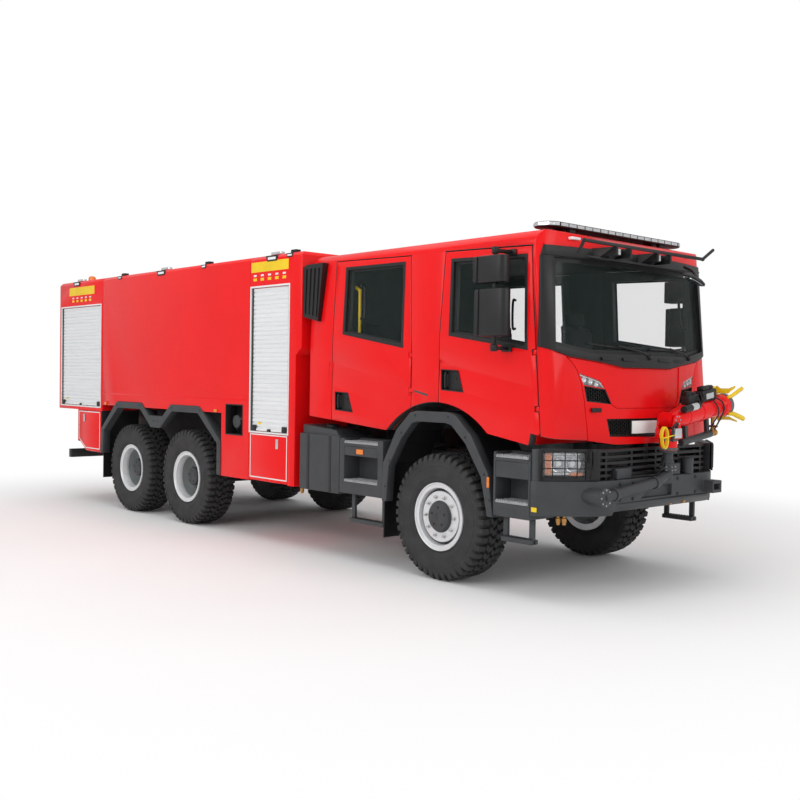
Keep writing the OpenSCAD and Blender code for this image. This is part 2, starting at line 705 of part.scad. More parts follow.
// Swing joint and pipe bend as y and z
swing = [-890, 865];
bend = [monitor_y - 160, 949];
rise = bend - swing;
module monitor_pipe() {
  color(charcoal) on_truck() {
    // Swing joint on the bumper face, then the pipe up to the riser
    difference() {
      translate([0, swing[0], swing[1]]) rod_x(130, [1350, monitor_x + 20]);
      along_z([700, 1000]) bumper_plan(-fit);
    }
    translate([monitor_x, swing[0], swing[1]]) rotate([atan2(rise[1], rise[0]), 0, 0]) rotate([-90, 0, 0]) cylinder(d = 80, h = norm(rise));
    translate([monitor_x, bend[0], bend[1]]) sphere(d = 100);
    translate([monitor_x, bend[0], bend[1]]) rotate([-70, 0, 0]) cylinder(d = 80, h = monitor_y - bend[0]);
    translate([monitor_x, monitor_y, 960]) cylinder(d = 84, h = 250);
    for (z = [1050, 1190]) translate([monitor_x, monitor_y, z]) cylinder(d = 150, h = 20);
    translate([monitor_x, monitor_y, 1209]) cylinder(d = 90, h = 91);
    // Bracket back to the bumper
    box([bumper_x - 20, monitor_x], [monitor_y - 40, monitor_y + 40], [bumper_top + fit, bumper_top + 60]);
    // Travel rest
    translate([bumper_x - bumper_wall / 2, 430, bumper_top + fit]) cylinder(d = bumper_wall - 4, h = 120);
  }
}
module monitor_yoke() {
  color([0.85, 0.07, 0.08]) on_truck() translate([monitor_x, monitor_y, 0]) difference() {
    union() {
      translate([0, 0, 1211]) cylinder(d = 150, h = 110);
      along_x([-88, 88]) polygon([[-70, 1310], [70, 1310], [70, 1390], [-70, 1390]]);
      for (x = [[-88, -66], [66, 88]]) along_x(x) {
        polygon([[-70, 1311], [70, 1311], [45, tilt_z], [-45, tilt_z]]);
        translate([0, tilt_z]) circle(r = 45);
      }
    }
    translate([0, 0, 1200]) cylinder(d = 90 + 2 * run, h = 100 + 1);
    translate([0, 0, tilt_z]) rod_x(40 + 2 * run, [-100, 100]);
  }
}
module monitor_barrel() {
  tube_r = 85;
  collar_r = 102;
  foam_z = -225;
  collar_y = barrel_len - 132;
  color([0.85, 0.07, 0.08]) on_truck() translate([monitor_x, monitor_y, tilt_z]) {
    rod_x(40, [-88, 88]);
    rod_x(130, [-60, 60]);
    rotate([barrel_rise, 0, 0]) {
      rotate([-90, 0, 0]) rotate_extrude() polygon([[0, 0], [50, 0], [50, 40], [tube_r, 170], [tube_r, collar_y],
        [collar_r, collar_y + 12], [collar_r, barrel_len], [tube_r, barrel_len], [tube_r - 10, barrel_len - 90], [0, barrel_len - 90]]);
      // Drive motors and the foam tube
      box([-45, 45], [260, 420], [50, 200]);
      box([-50, 50], [470, 700], [50, 215]);
      translate([0, 0, foam_z]) rod_y(64, [160, 640]);
      for (y = [220, 560]) box([-15, 15], [y, y + 40], [foam_z, -60]);
      // Deflector forks
      for (a = [45, 135, 225, 315]) translate([0, barrel_len - 40, 0]) rotate([0, a, 0])
        along_x([-fork_t / 2, fork_t / 2]) polygon([[-30, 90], [55, 90], [128, deflector_r - 30], [104, deflector_r], [16, 122], [-30, 116]]);
    }
  }
}

// Sides

tread_in_y = trim_half_w - 212;
module step_box(x, recess) {
  difference() {
    box(x, [step_in_y, trim_half_w - 7], [step_low, 1195]);
    box(recess, [tread_in_y, trim_half_w + 238], [772, 1120]);
    box(recess, [tread_in_y, trim_half_w + 238], [1146, 1300]);
  }
}
front_recess = [722, 1080];
rear_recess = [-1275, -775];
module cab_steps() {
  color(charcoal) on_truck() both() {
    step_box([700, 1098], front_recess);
    step_box([-1345, -700], rear_recess);
    box([-2000, -1351], [tank_in_y, trim_half_w - 7], [640, 1210]);
    box([-1352, -1344], [960, 1200], [700, 1100]);
    // Sloping lid
    along_y([tank_in_y + 20, trim_half_w - 40]) polygon([[-1985, 1209], [-1985, 1300], [-1450, 1262], [-1400, 1209]]);
  }
}
module step_treads() {
  color([0.6, 0.61, 0.6]) on_truck() both() {
    for (r = [front_recess, rear_recess]) for (z = [772, 1146])
      box([r[0] + fit, r[1] - fit], [tread_in_y + fit, trim_half_w - 7], [z + fit, z + 22]);
    // Hanging steps under the boxes: x span and drop
    for (h = [[[-1225, -725], 380], [[760, 1090], 455]]) {
      for (x = [h[0][0], h[0][1] - 50]) box([x, x + 50], [trim_half_w - 102, trim_half_w - 72], [h[1], step_low - fit]);
      box(h[0], [trim_half_w - 132, trim_half_w - 42], [h[1], h[1] + 40]);
    }
  }
}
front_flare_outer = [[-700 + fit, 640], [-690, 1000], [-514, 1310], [-330, 1478], [-250, 1497], [150, 1497], [240, 1478],
  [438, 1310], [640, 1000], [700 - fit, 640]];
front_flare_inner = [[640, 640], [560, 970], [375, 1235], [200, 1385], [130, 1402], [-230, 1402], [-300, 1385],
  [-445, 1235], [-612, 970], [-640, 640]];
function rear_flare_outer(g) = [[axle3_x - 818 - g, 712], [axle3_x - 795 - g, 1040], [axle3_x - 360 - g, 1405 + g],
  [axle3_x - 320, 1420 + g], [axle3_x + 330, 1420 + g], [axle3_x + 520, 1268 + g], [axle2_x - 530, 1268 + g],
  [axle2_x - 330, 1420 + g], [axle2_x + 320, 1420 + g], [axle2_x + 360 + g, 1405 + g], [axle2_x + 812 + g, 1030],
  [axle2_x + 812 + g, 650]];
rear_flare_inner = [[axle2_x + 735, 650], [axle2_x + 735, 1010], [axle2_x + 310, 1338], [axle2_x - 300, 1338],
  [axle2_x - 585, 1120], [axle3_x + 585, 1120], [axle3_x + 300, 1338], [axle3_x - 310, 1338], [axle3_x - 720, 1015],
  [axle3_x - 740, 712]];
module arch_flares() {
  color(charcoal) on_truck() both() {
    along_y([flare_y, trim_half_w]) polygon(concat(front_flare_outer, front_flare_inner));
    along_y([flare_y, body_half_w + 10]) polygon(concat(rear_flare_outer(0), rear_flare_inner));
  }
}
module mudflaps() {
  color(black) on_truck() both() {
    box([-716, -704], [960, 1220], [292, step_low - fit]);
    box([axle3_x - 812, axle3_x - 800], [910, 1230], [372, 712 - fit]);
    // Wheel arch liners
    along_y([700, flare_y - fit]) difference() {
      offset(delta = -8) polygon(front_flare_outer);
      offset(delta = -18) polygon(front_flare_outer);
      translate([-2000, 0]) square([4000, 662]);
    }
    box([seam1[1], axle2_x + 800], [rail_half + fit, flare_y - 2], [tank_low - 8, tank_low - fit]);
  }
}

// Body

module body_section() { along_x([-9000, 0]) polygon([[-body_half_w, 0], [body_half_w, 0], [body_half_w, body_top - 36],
  [body_half_w - 36, body_top], [-body_half_w + 36, body_top], [-body_half_w, body_top - 36]]); }
// Shutter table: x span and z span of each side shutter
front_shutter = [[-2905, -2205], [1185, 2740]];
rear_shutter = [[-7795, -6545], [1330, 2715]];
// Flap table: x span, z span, and the chamfer of the lower rear corner as length and height
front_flap = [[-2900, -2205], [652, 1165], [0, 0]];
rear_flap = [[-7205, -6545], [712, 1262], [215, 130]];
flap_gap = 6;
flap_back = 12;
// Hinge axis inside the outer face and above the lower edge of a flap
flap_in = 18;
flap_lug_t = 24;
function flap_axis(f) = [body_half_w - flap_in, f[1][0] + flap_in];
function flap_lugs(f) = [f[0][0] + f[2][0] + 110, f[0][1] - 110];
module shutter_cut(s) { box(s[0], [body_half_w - shutter_depth, 2000], s[1]); }
module flap_cut(f) {
  box(f[0] - [flap_gap, -flap_gap], [body_half_w - flap_t - flap_back, 2000], [f[1][0] - 100, f[1][1] + flap_gap]);
  box(f[0] + [40 + f[2][0], -40], [body_half_w - 480, 2000], f[1] + [50, -30]);
}
// Fixed lugs with their pins at the foot of a locker
module flap_hinge(f) {
  at = flap_axis(f);
  for (x = flap_lugs(f)) translate([x, at[0], at[1]]) {
    rod_x(20, [-flap_lug_t / 2, flap_lug_t / 2]);
    box([-flap_lug_t / 2, flap_lug_t / 2], [-flap_t - flap_back - 30, 0], [-10, 10]);
    rod_x(flap_pin_d, [-34, 34]);
  }
}
module body_front() {
  color(red) on_truck() difference() {
    intersection() {
      along_y([-2000, 2000]) polygon([[seam2[1], body_low], [body_front_x, body_low], [body_front_x, 2010],
        [body_front_x + 100, 2085], [body_front_x + 100, body_top - 36], [body_front_x + 64, body_top], [seam2[1], body_top]]);
      body_section();
    }
    box([-3000, -1000], [-560, 560], [0, tank_low]);
    both() {
      shutter_cut(front_shutter);
      flap_cut(front_flap);
    }
  }
  color(red) on_truck() both() flap_hinge(front_flap);
}
module body_tank() {
  // Manhole lids on the tank roof
  color(red) on_truck() for (x = [-5500, -3900]) translate([x, 0, body_top - 1]) cylinder(d = 600, h = lid_h);
  color(red) on_truck() difference() {
    intersection() {
      union() {
        box([seam1[1], seam2[0]], [-2000, 2000], [tank_low, body_top]);
        both() box([axle2_x + 812 + fit, seam2[0]], [1000, 2000], [body_low, tank_low + 1]);
      }
      body_section();
    }
    both() {
      along_y([flare_y - 1, 2000]) polygon(concat(rear_flare_outer(fit), [[axle3_x, 300]]));
      // Filler recess
      box([-3390, -3055], [body_half_w - 150, 2000], [1130, 1457]);
    }
  }
}
module body_rear() {
  color(red) on_truck() difference() {
    intersection() {
      union() {
        box([-body_rear_x, seam1[0]], [-2000, 2000], [rear_low, body_top]);
        both() along_y([700, 2000]) polygon([[-7235, rear_low + 1], [-7235, 840], [-7000, 700], [-6520, 700], [-6520, rear_low + 1]]);
      }
      body_section();
    }
    both() {
      shutter_cut(rear_shutter);
      flap_cut(rear_flap);
    }
    box([-9000, -body_rear_x + shutter_depth], [-900, 900], [1450, 2740]);
  }
  color(red) on_truck() both() flap_hinge(rear_flap);
}
module flap(f) {
  at = flap_axis(f);
  foot = f[0][0] + f[2][0];
  color(red) on_truck() difference() {
    union() {
      along_y([body_half_w - flap_t, body_half_w]) polygon([[f[0][0], f[1][1]], [f[0][0], f[1][0] + f[2][1] + flap_in],
        [foot, f[1][0] + flap_in], [f[0][1], f[1][0] + flap_in], [f[0][1], f[1][1]]]);
      box([foot, f[0][1]], [body_half_w - flap_t, at[0]], [f[1][0], at[1] + 1]);
      translate([0, at[0], at[1]]) rod_x(2 * flap_in, [foot, f[0][1]]);
    }
    for (x = flap_lugs(f)) translate([x, at[0], at[1]]) {
      rod_x(27, [-flap_lug_t / 2 - 5, flap_lug_t / 2 + 5]);
      box([-flap_lug_t / 2 - 5, flap_lug_t / 2 + 5], [-100, 0], [-100, 14]);
      box([-flap_lug_t / 2 - 5, flap_lug_t / 2 + 5], [-100, 13], [-100, 0]);
      rod_x(flap_pin_d + 2 * run, [-40, 40]);
    }
  }
}
// Slatted curtain in the plane of u and z, facing +v
module curtain(w, z) {
  n = floor((z[1] - z[0] - 4) / slat_h);
  pitch = (z[1] - z[0] - 4) / n;
  along_x([0, w]) polygon(concat([[0, z[0] + 2], [0, z[1] - 2]], [for (k = [n - 1:-1:0]) for (p = [[14, 0.96], [22, 0.8], [22, 0.2], [14, 0.04]])
    [p[0], z[0] + 2 + pitch * (k + p[1])]]));
}
module shutters() {
  color(silver) on_truck() {
    for (s = [front_shutter, rear_shutter]) both()
      translate([s[0][0] + fit, body_half_w - shutter_depth + fit, 0]) curtain(s[0][1] - s[0][0] - 2 * fit, s[1]);
    translate([-body_rear_x + shutter_depth - fit, -900 + fit, 0]) rotate([0, 0, 90]) curtain(1800 - 2 * fit, [1450, 2740]);
  }
}
module roof_ladder() {
  y = [body_half_w - 345, body_half_w - 85];
  color(silver) on_truck() {
    for (k = y) {
      translate([-body_rear_x - ladder_off, k, 0]) along_z([ladder_low, body_top]) circle(d = ladder_d);
      for (z = [ladder_low + 30, body_top - 170]) translate([0, k, z]) rod_x(20, [-body_rear_x - ladder_off, -body_rear_x - fit]);
    }
    for (z = [ladder_low + 60:280:body_top - 60]) translate([-body_rear_x - ladder_off, 0, z]) rod_y(24, y);
  }
}
module rear_beam() {
  color(charcoal) on_truck() {
    box([-7780, -7700 - fit], [-1150, 1150], [560, 680]);
    both() box([-7780, -7700 - fit], [rail_half - 80, rail_half], [679, rail_top]);
    box([-7780, -7700 - fit], [-rail_half, rail_half], [800, 920]);
    tow_jaw([-7834, 0, 860], -1);
  }
}
intake_outline = [[-1972, 2400], [-1725, 2345], [-1655, 2930], [-1930, 2925], [-1972, 2900]];
module air_intake() {
  out = cab_half_w + 36;
  color(black) on_truck() {
    difference() {
      along_y([-out, -900]) polygon(intake_outline);
      cab_prism(-fit);
      // Louvre slots in the outer face
      for (k = [0:3]) along_y([-2000, -out + 16]) polygon([[-1945 + 62 * k, 2430 - 13 * k], [-1915 + 62 * k, 2424 - 13 * k], [-1896 + 68 * k, 2880], [-1928 + 68 * k, 2880]]);
    }
    translate([-cab_rear - 45, -1080, 0]) along_z([1500, 2420]) circle(d = 70);
  }
}

chassis_frame();
engine();
front_axle();
rear_axles();
on_truck() knuckle();  // knuckle_l
on_truck() right() knuckle();  // knuckle_r
wheel_at(0, front_track_y) tyre();  // tyre_front_l
wheel_at(0, -front_track_y) tyre();  // tyre_front_r
wheel_at(axle2_x, rear_track_y) tyre();  // tyre_mid_l
wheel_at(axle2_x, -rear_track_y) tyre();  // tyre_mid_r
wheel_at(axle3_x, rear_track_y) tyre();  // tyre_rear_l
wheel_at(axle3_x, -rear_track_y) tyre();  // tyre_rear_r
wheel_at(0, front_track_y) rim(front_disc, front_hub);  // rim_front_l
wheel_at(0, -front_track_y) right() rim(front_disc, front_hub);  // rim_front_r
wheel_at(axle2_x, rear_track_y) rim(rear_disc, rear_hub);  // rim_mid_l
wheel_at(axle2_x, -rear_track_y) right() rim(rear_disc, rear_hub);  // rim_mid_r
wheel_at(axle3_x, rear_track_y) rim(rear_disc, rear_hub);  // rim_rear_l
wheel_at(axle3_x, -rear_track_y) right() rim(rear_disc, rear_hub);  // rim_rear_r
cab_shell();
front_panel();
windscreen();
front_door();  // door_front_l
right() front_door();  // door_front_r
rear_door();  // door_rear_l
right() rear_door();  // door_rear_r
door_glass(front_window);  // glass_front_l
right() door_glass(front_window);  // glass_front_r
door_glass(rear_window);  // glass_rear_l
right() door_glass(rear_window);  // glass_rear_r
seats();
dashboard();
cowl();
visor();
light_bar();
mirror_arm();  // mirror_l
right() mirror_arm();  // mirror_r
lamps();
bumper();
grille();
cab_steps();
step_treads();
arch_flares();
mudflaps();
body_front();
body_tank();
body_rear();
flap(front_flap);  // flap_front_l
right() flap(front_flap);  // flap_front_r
flap(rear_flap);  // flap_rear_l
right() flap(rear_flap);  // flap_rear_r
shutters();
monitor_pipe();
monitor_yoke();
monitor_barrel();
roof_ladder();
rear_beam();
air_intake();
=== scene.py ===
import json
import math
import bmesh
import bpy
from mathutils import Matrix, Vector


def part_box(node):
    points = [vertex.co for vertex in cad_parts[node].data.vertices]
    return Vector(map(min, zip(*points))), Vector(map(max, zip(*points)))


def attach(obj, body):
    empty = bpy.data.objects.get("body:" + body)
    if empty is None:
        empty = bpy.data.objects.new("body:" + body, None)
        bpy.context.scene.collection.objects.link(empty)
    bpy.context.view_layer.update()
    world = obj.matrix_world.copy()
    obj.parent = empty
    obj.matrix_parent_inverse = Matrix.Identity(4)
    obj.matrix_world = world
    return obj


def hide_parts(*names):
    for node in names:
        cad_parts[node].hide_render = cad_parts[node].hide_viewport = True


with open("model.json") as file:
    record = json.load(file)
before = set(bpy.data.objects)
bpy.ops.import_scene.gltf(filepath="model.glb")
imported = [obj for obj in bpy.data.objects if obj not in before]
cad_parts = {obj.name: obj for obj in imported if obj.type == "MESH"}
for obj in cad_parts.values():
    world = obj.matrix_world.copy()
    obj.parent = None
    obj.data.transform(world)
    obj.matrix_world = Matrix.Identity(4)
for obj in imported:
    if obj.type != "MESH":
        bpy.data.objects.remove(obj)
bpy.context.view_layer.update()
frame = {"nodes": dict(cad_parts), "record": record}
nodes = frame["nodes"]
scene = bpy.context.scene
scene.view_settings.view_transform = "Standard"
tyreLow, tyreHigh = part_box("tyre_front_l")
axleX = (tyreLow.x + tyreHigh.x) / 2  # measured places count from the front axle
print("frame loaded:", len(nodes), "nodes")

# camera as in the photograph
cameraSet = {"place": (6.415, -7.468, 1.797), "yaw": 47.945, "pitch": -1.294, "roll": 0.888, "lens": 45.617}


def makeCamera(s):
    yaw, pitch, roll = (math.radians(s[k]) for k in ("yaw", "pitch", "roll"))
    ahead = Vector((-math.sin(yaw) * math.cos(pitch), math.cos(yaw) * math.cos(pitch), math.sin(pitch)))
    right = ahead.cross(Vector((0, 0, 1))).normalized()
    up = right.cross(ahead)
    rolledRight = right * math.cos(roll) + up * math.sin(roll)
    rolledUp = up * math.cos(roll) - right * math.sin(roll)
    cam = bpy.data.objects.new("camera", bpy.data.cameras.new("camera"))
    scene.collection.objects.link(cam)
    cam.data.lens = s["lens"]
    cam.data.sensor_width = 36
    cam.data.clip_end = 200
    turn = Matrix((rolledRight, rolledUp, -ahead)).transposed().to_4x4()
    cam.matrix_world = Matrix.Translation(Vector(s["place"]) + Vector((axleX, 0, 0))) @ turn
    scene.camera = cam


makeCamera(cameraSet)


# materials
def nodeAdd(tree, kind, **values):
    n = tree.nodes.new(kind)
    for key, value in values.items():
        if key in n.inputs:
            n.inputs[key].default_value = value
        else:
            setattr(n, key, value)
    return n


def makeFinish(name, color, dark, rough=0.4, roughSpread=0.08, metal=0.0, grain=60, bump=0.02, patch=3.0, coat=0.0,
               stretch=(1, 1, 1), alpha=1.0, shine=0.5):
    mat = bpy.data.materials.new(name)
    mat.use_nodes = True
    t = mat.node_tree
    shader = t.nodes["Principled BSDF"]
    shader.inputs["Metallic"].default_value = metal
    shader.inputs["Coat Weight"].default_value = coat
    shader.inputs["Coat Roughness"].default_value = 0.06
    shader.inputs["Alpha"].default_value = alpha
    shader.inputs["Specular IOR Level"].default_value = shine
    shader.inputs["IOR"].default_value = 1.45
    place = t.nodes.new("ShaderNodeTexCoord")
    spread = nodeAdd(t, "ShaderNodeMapping")
    spread.inputs["Scale"].default_value = stretch
    t.links.new(place.outputs["Object"], spread.inputs["Vector"])
    broad = nodeAdd(t, "ShaderNodeTexNoise", Scale=patch, Detail=4.0, Roughness=0.6)
    fine = nodeAdd(t, "ShaderNodeTexNoise", Scale=grain, Detail=3.0, Roughness=0.55)
    for n in (broad, fine):
        t.links.new(spread.outputs["Vector"], n.inputs["Vector"])
    ramp = t.nodes.new("ShaderNodeValToRGB")
    ramp.color_ramp.elements[0].position = 0.3
    ramp.color_ramp.elements[1].position = 0.62
    ramp.color_ramp.elements[0].color = (*dark, 1)
    ramp.color_ramp.elements[1].color = (*color, 1)
    t.links.new(broad.outputs["Fac"], ramp.inputs["Fac"])
    t.links.new(ramp.outputs["Color"], shader.inputs["Base Color"])
    worn = nodeAdd(t, "ShaderNodeMapRange")
    worn.inputs["To Min"].default_value = max(rough - roughSpread, 0.02)
    worn.inputs["To Max"].default_value = min(rough + roughSpread, 1.0)
    t.links.new(fine.outputs["Fac"], worn.inputs["Value"])
    t.links.new(worn.outputs["Result"], shader.inputs["Roughness"])
    if bump:
        b = nodeAdd(t, "ShaderNodeBump", Strength=bump, Distance=0.002)
        t.links.new(fine.outputs["Fac"], b.inputs["Height"])
        t.links.new(b.outputs["Normal"], shader.inputs["Normal"])
    return mat


redPaint = makeFinish("redPaint", (0.86, 0.006, 0.008), (0.80, 0.005, 0.007), rough=0.28, roughSpread=0.03, coat=0.14,
                      shine=0.2, grain=300, bump=0.006, patch=1.2)
charcoal = makeFinish("charcoalTrim", (0.046, 0.050, 0.054), (0.036, 0.039, 0.042), rough=0.48, grain=900,
                      bump=0.12, patch=5)
blackPlastic = makeFinish("blackPlastic", (0.010, 0.010, 0.011), (0.007, 0.007, 0.008), rough=0.45, grain=700,
                          bump=0.1, patch=6)
frameBlack = makeFinish("frameBlack", (0.022, 0.023, 0.025), (0.014, 0.014, 0.016), rough=0.5, grain=200,
                        bump=0.08, patch=4)
tyreRubber = makeFinish("tyreRubber", (0.038, 0.038, 0.039), (0.024, 0.024, 0.025), rough=0.8, grain=400,
                        bump=0.15, patch=7)
wheelSilver = makeFinish("wheelSilver", (0.74, 0.75, 0.76), (0.66, 0.67, 0.69), rough=0.32, metal=0.4, grain=500,
                         bump=0.03, patch=6)
aluminium = makeFinish("aluminium", (0.68, 0.69, 0.70), (0.60, 0.61, 0.63), rough=0.32, metal=0.75, grain=90, bump=0.03,
                       patch=3, stretch=(1, 1, 18))
shutterMetal = makeFinish("shutterMetal", (0.82, 0.84, 0.85), (0.75, 0.77, 0.79), rough=0.42, metal=0.2, grain=60,
                          bump=0.03, patch=2, stretch=(0.4, 0.4, 12))
tintedGlass = makeFinish("tintedGlass", (0.05, 0.09, 0.08), (0.04, 0.08, 0.07), rough=0.03, roughSpread=0.01, grain=3,
                         bump=0, patch=0.6, alpha=0.08, coat=0.6)
clearLens = makeFinish("clearLens", (0.92, 0.93, 0.94), (0.84, 0.85, 0.87), rough=0.08, roughSpread=0.03, grain=60,
                       bump=0.05, patch=30, coat=0.5)
seatCloth = makeFinish("seatCloth", (0.035, 0.035, 0.038), (0.022, 0.022, 0.024), rough=0.9, grain=900,
                       bump=0.4, patch=14)
castMetal = makeFinish("castMetal", (0.16, 0.165, 0.17), (0.11, 0.115, 0.12), rough=0.55, metal=0.5, grain=160,
                       bump=0.15, patch=8)
slotFinish = {"tyre_rubber": tyreRubber, "wheel_silver": wheelSilver, "tinted_glass": tintedGlass,
              "dark_frame": frameBlack, "engine_metal": castMetal, "red_paint": redPaint, "seat_cloth": seatCloth,
              "charcoal_trim": charcoal, "shutter_metal": shutterMetal, "tread_metal": aluminium,
              "lamp_lens": clearLens, "flap_rubber": blackPlastic, "black_plastic": blackPlastic}
nodeSlot = {p["node"]: p["material_slot"] for p in frame["record"]["subparts"]}
nodeBody = {n: b for b, ns in frame["record"]["behaviour"]["bodies"].items() for n in ns}
for name, obj in nodes.items():
    obj.data.materials.clear()
    obj.data.materials.append(slotFinish[nodeSlot[name]])
print("finishes assigned")


# building blocks
def spot(x, y, z):
    return Vector((axleX + x, y, z))


def angles(count, shift=0.0):  # even angles round a circle
    return [2 * math.pi * (k + shift) / count for k in range(count)]


def joinRings(bm, rings, capped=True):  # walls between rings, capped at the ends or closed on themselves
    if capped:
        bm.faces.new(rings[0])
        bm.faces.new(rings[-1])
    n = len(rings[0])
    for one, two in zip(rings, rings[1:] if capped else rings[1:] + rings[:1]):
        for i in range(n):
            j = (i + 1) % n
            bm.faces.new((one[i], one[j], two[j], two[i]))


def addPrism(bm, points, axis, start, end):
    def place(p, t):
        return {"x": (t, p[0], p[1]), "y": (p[0], t, p[1]), "z": (p[0], p[1], t)}[axis]
    joinRings(bm, [[bm.verts.new(place(p, t)) for p in points] for t in (start, end)])


def addBox(bm, low, high):
    addPrism(bm, [(low[0], low[1]), (high[0], low[1]), (high[0], high[1]), (low[0], high[1])], "z", low[2], high[2])


def addFlankBox(bm, side, xs, ys, zs):  # box on one flank; ys count outwards from the middle
    a, b = sorted((side * ys[0], side * ys[1]))
    addBox(bm, spot(xs[0], a, zs[0]), spot(xs[1], b, zs[1]))


def addLathe(bm, profile, center, axis, count=48):  # profile as radius and place along the axis, closed
    axis = Vector(axis).normalized()
    side = axis.orthogonal().normalized()
    other = axis.cross(side)
    rings = []
    for a in angles(count):
        out = side * math.cos(a) + other * math.sin(a)
        rings.append([bm.verts.new(Vector(center) + out * r + axis * h) for r, h in profile])
    joinRings(bm, rings, False)


def ringAt(bm, p, side, other, radius, count):
    return [bm.verts.new(p + (side * math.cos(a) + other * math.sin(a)) * radius) for a in angles(count)]


def addRod(bm, start, end, radius, count=16):
    start, end = Vector(start), Vector(end)
    axis = (end - start).normalized()
    side = axis.orthogonal().normalized()
    joinRings(bm, [ringAt(bm, p, side, axis.cross(side), radius, count) for p in (start, end)])


def addTube(bm, path, radius, count=10):  # a bent tube with mitred rings
    path = [Vector(p) for p in path]
    rings = []
    side = None
    for i, p in enumerate(path):
        ahead = (path[min(i + 1, len(path) - 1)] - path[max(i - 1, 0)]).normalized()
        side = ahead.orthogonal().normalized() if side is None else (side - ahead * side.dot(ahead)).normalized()
        rings.append(ringAt(bm, p, side, ahead.cross(side), radius, count))
    joinRings(bm, rings)


def smoothPath(points, steps=6):  # rounded path through a few points
    points = [Vector(p) for p in points]
    full = [points[0] * 2 - points[1]] + points + [points[-1] * 2 - points[-2]]
    out = []
    for a, b, c, d in zip(full, full[1:], full[2:], full[3:]):
        for k in range(steps):
            t = k / steps
            out.append(0.5 * (2 * b + (c - a) * t + (2 * a - 5 * b + 4 * c - d) * t * t
                              + (3 * b - a - 3 * c + d) * t ** 3))
    return out + [points[-1]]


def linkMesh(name, mesh):
    obj = bpy.data.objects.new(name, mesh)
    scene.collection.objects.link(obj)
    return obj


def settle(obj):  # modifiers become a plain mesh
    graph = bpy.context.evaluated_depsgraph_get()
    mesh = bpy.data.meshes.new_from_object(obj.evaluated_get(graph))
    obj.modifiers.clear()
    obj.data = mesh
    return obj


def addBevel(obj, width, segments=2, angle=35):
    b = obj.modifiers.new("edge", "BEVEL")
    b.width, b.segments, b.limit_method = width, segments, "ANGLE"
    b.angle_limit = math.radians(angle)
    b.use_clamp_overlap = False
    b.harden_normals = False
    return obj


def shade(mesh, angle=35):
    mesh.polygons.foreach_set("use_smooth", [True] * len(mesh.polygons))
    mesh.set_sharp_from_angle(angle=math.radians(angle))


def carry(obj, body, replaced=()):
    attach(obj, body)
    if replaced:
        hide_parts(*replaced)
    return obj


def makePiece(name, bm, finish, body="truck", bevel=0.0, segments=2, angle=35, replaced=()):
    bmesh.ops.remove_doubles(bm, verts=bm.verts, dist=1e-6)
    bmesh.ops.recalc_face_normals(bm, faces=bm.faces)
    mesh = bpy.data.meshes.new(name)
    bm.to_mesh(mesh)
    bm.free()
    mesh.materials.append(finish)
    obj = linkMesh(name, mesh)
    if bevel:
        settle(addBevel(obj, bevel, segments, angle))
    shade(obj.data, angle)
    return carry(obj, body, replaced)


def copyTree():  # copies of a shape at the points of a mesh
    tree = bpy.data.node_groups.new("placedCopies", "GeometryNodeTree")
    face = tree.interface
    face.new_socket("Geometry", in_out="INPUT", socket_type="NodeSocketGeometry")
    face.new_socket("shape", in_out="INPUT", socket_type="NodeSocketObject")
    face.new_socket("size", in_out="INPUT", socket_type="NodeSocketFloat")
    face.new_socket("finish", in_out="INPUT", socket_type="NodeSocketMaterial")
    face.new_socket("Geometry", in_out="OUTPUT", socket_type="NodeSocketGeometry")
    add = tree.nodes.new
    start, end = add("NodeGroupInput"), add("NodeGroupOutput")
    info, turn = add("GeometryNodeObjectInfo"), add("GeometryNodeInputNamedAttribute")
    turn.data_type = "FLOAT_VECTOR"
    turn.inputs["Name"].default_value = "turn"
    place, real = add("GeometryNodeInstanceOnPoints"), add("GeometryNodeRealizeInstances")
    paint = add("GeometryNodeSetMaterial")
    link = tree.links.new
    link(start.outputs["Geometry"], place.inputs["Points"])
    link(start.outputs["shape"], info.inputs["Object"])
    link(info.outputs["Geometry"], place.inputs["Instance"])
    link(turn.outputs["Attribute"], place.inputs["Rotation"])
    link(start.outputs["size"], place.inputs["Scale"])
    link(place.outputs["Instances"], real.inputs["Geometry"])
    link(real.outputs["Geometry"], paint.inputs["Geometry"])
    link(start.outputs["finish"], paint.inputs["Material"])
    link(paint.outputs["Geometry"], end.inputs["Geometry"])
    return tree


placedCopies = copyTree()
copySockets = {i.name: i.identifier for i in placedCopies.interface.items_tree if i.in_out == "INPUT"}


def placeCopies(name, shapeMesh, spots, finish, body="truck", turns=None, angle=35):
    bmesh.ops.remove_doubles(shapeMesh, verts=shapeMesh.verts, dist=1e-6)
    bmesh.ops.recalc_face_normals(shapeMesh, faces=shapeMesh.faces)
    mesh = bpy.data.meshes.new(name + "Shape")
    shapeMesh.to_mesh(mesh)
    shapeMesh.free()
    shape = linkMesh(name + "Shape", mesh)
    points = bpy.data.meshes.new(name)
    points.from_pydata([tuple(p) for p in spots], [], [])
    turnData = points.attributes.new("turn", "FLOAT_VECTOR", "POINT")
    for i, value in enumerate(turns or [(0, 0, 0)] * len(spots)):
        turnData.data[i].vector = value
    obj = linkMesh(name, points)
    mod = obj.modifiers.new("copies", "NODES")
    mod.node_group = placedCopies
    mod[copySockets["shape"]] = shape
    mod[copySockets["size"]] = 1.0
    mod[copySockets["finish"]] = finish
    settle(obj)
    bpy.data.objects.remove(shape)
    if "turn" in obj.data.attributes:
        obj.data.attributes.remove(obj.data.attributes["turn"])
    shade(obj.data, angle)
    return carry(obj, body)


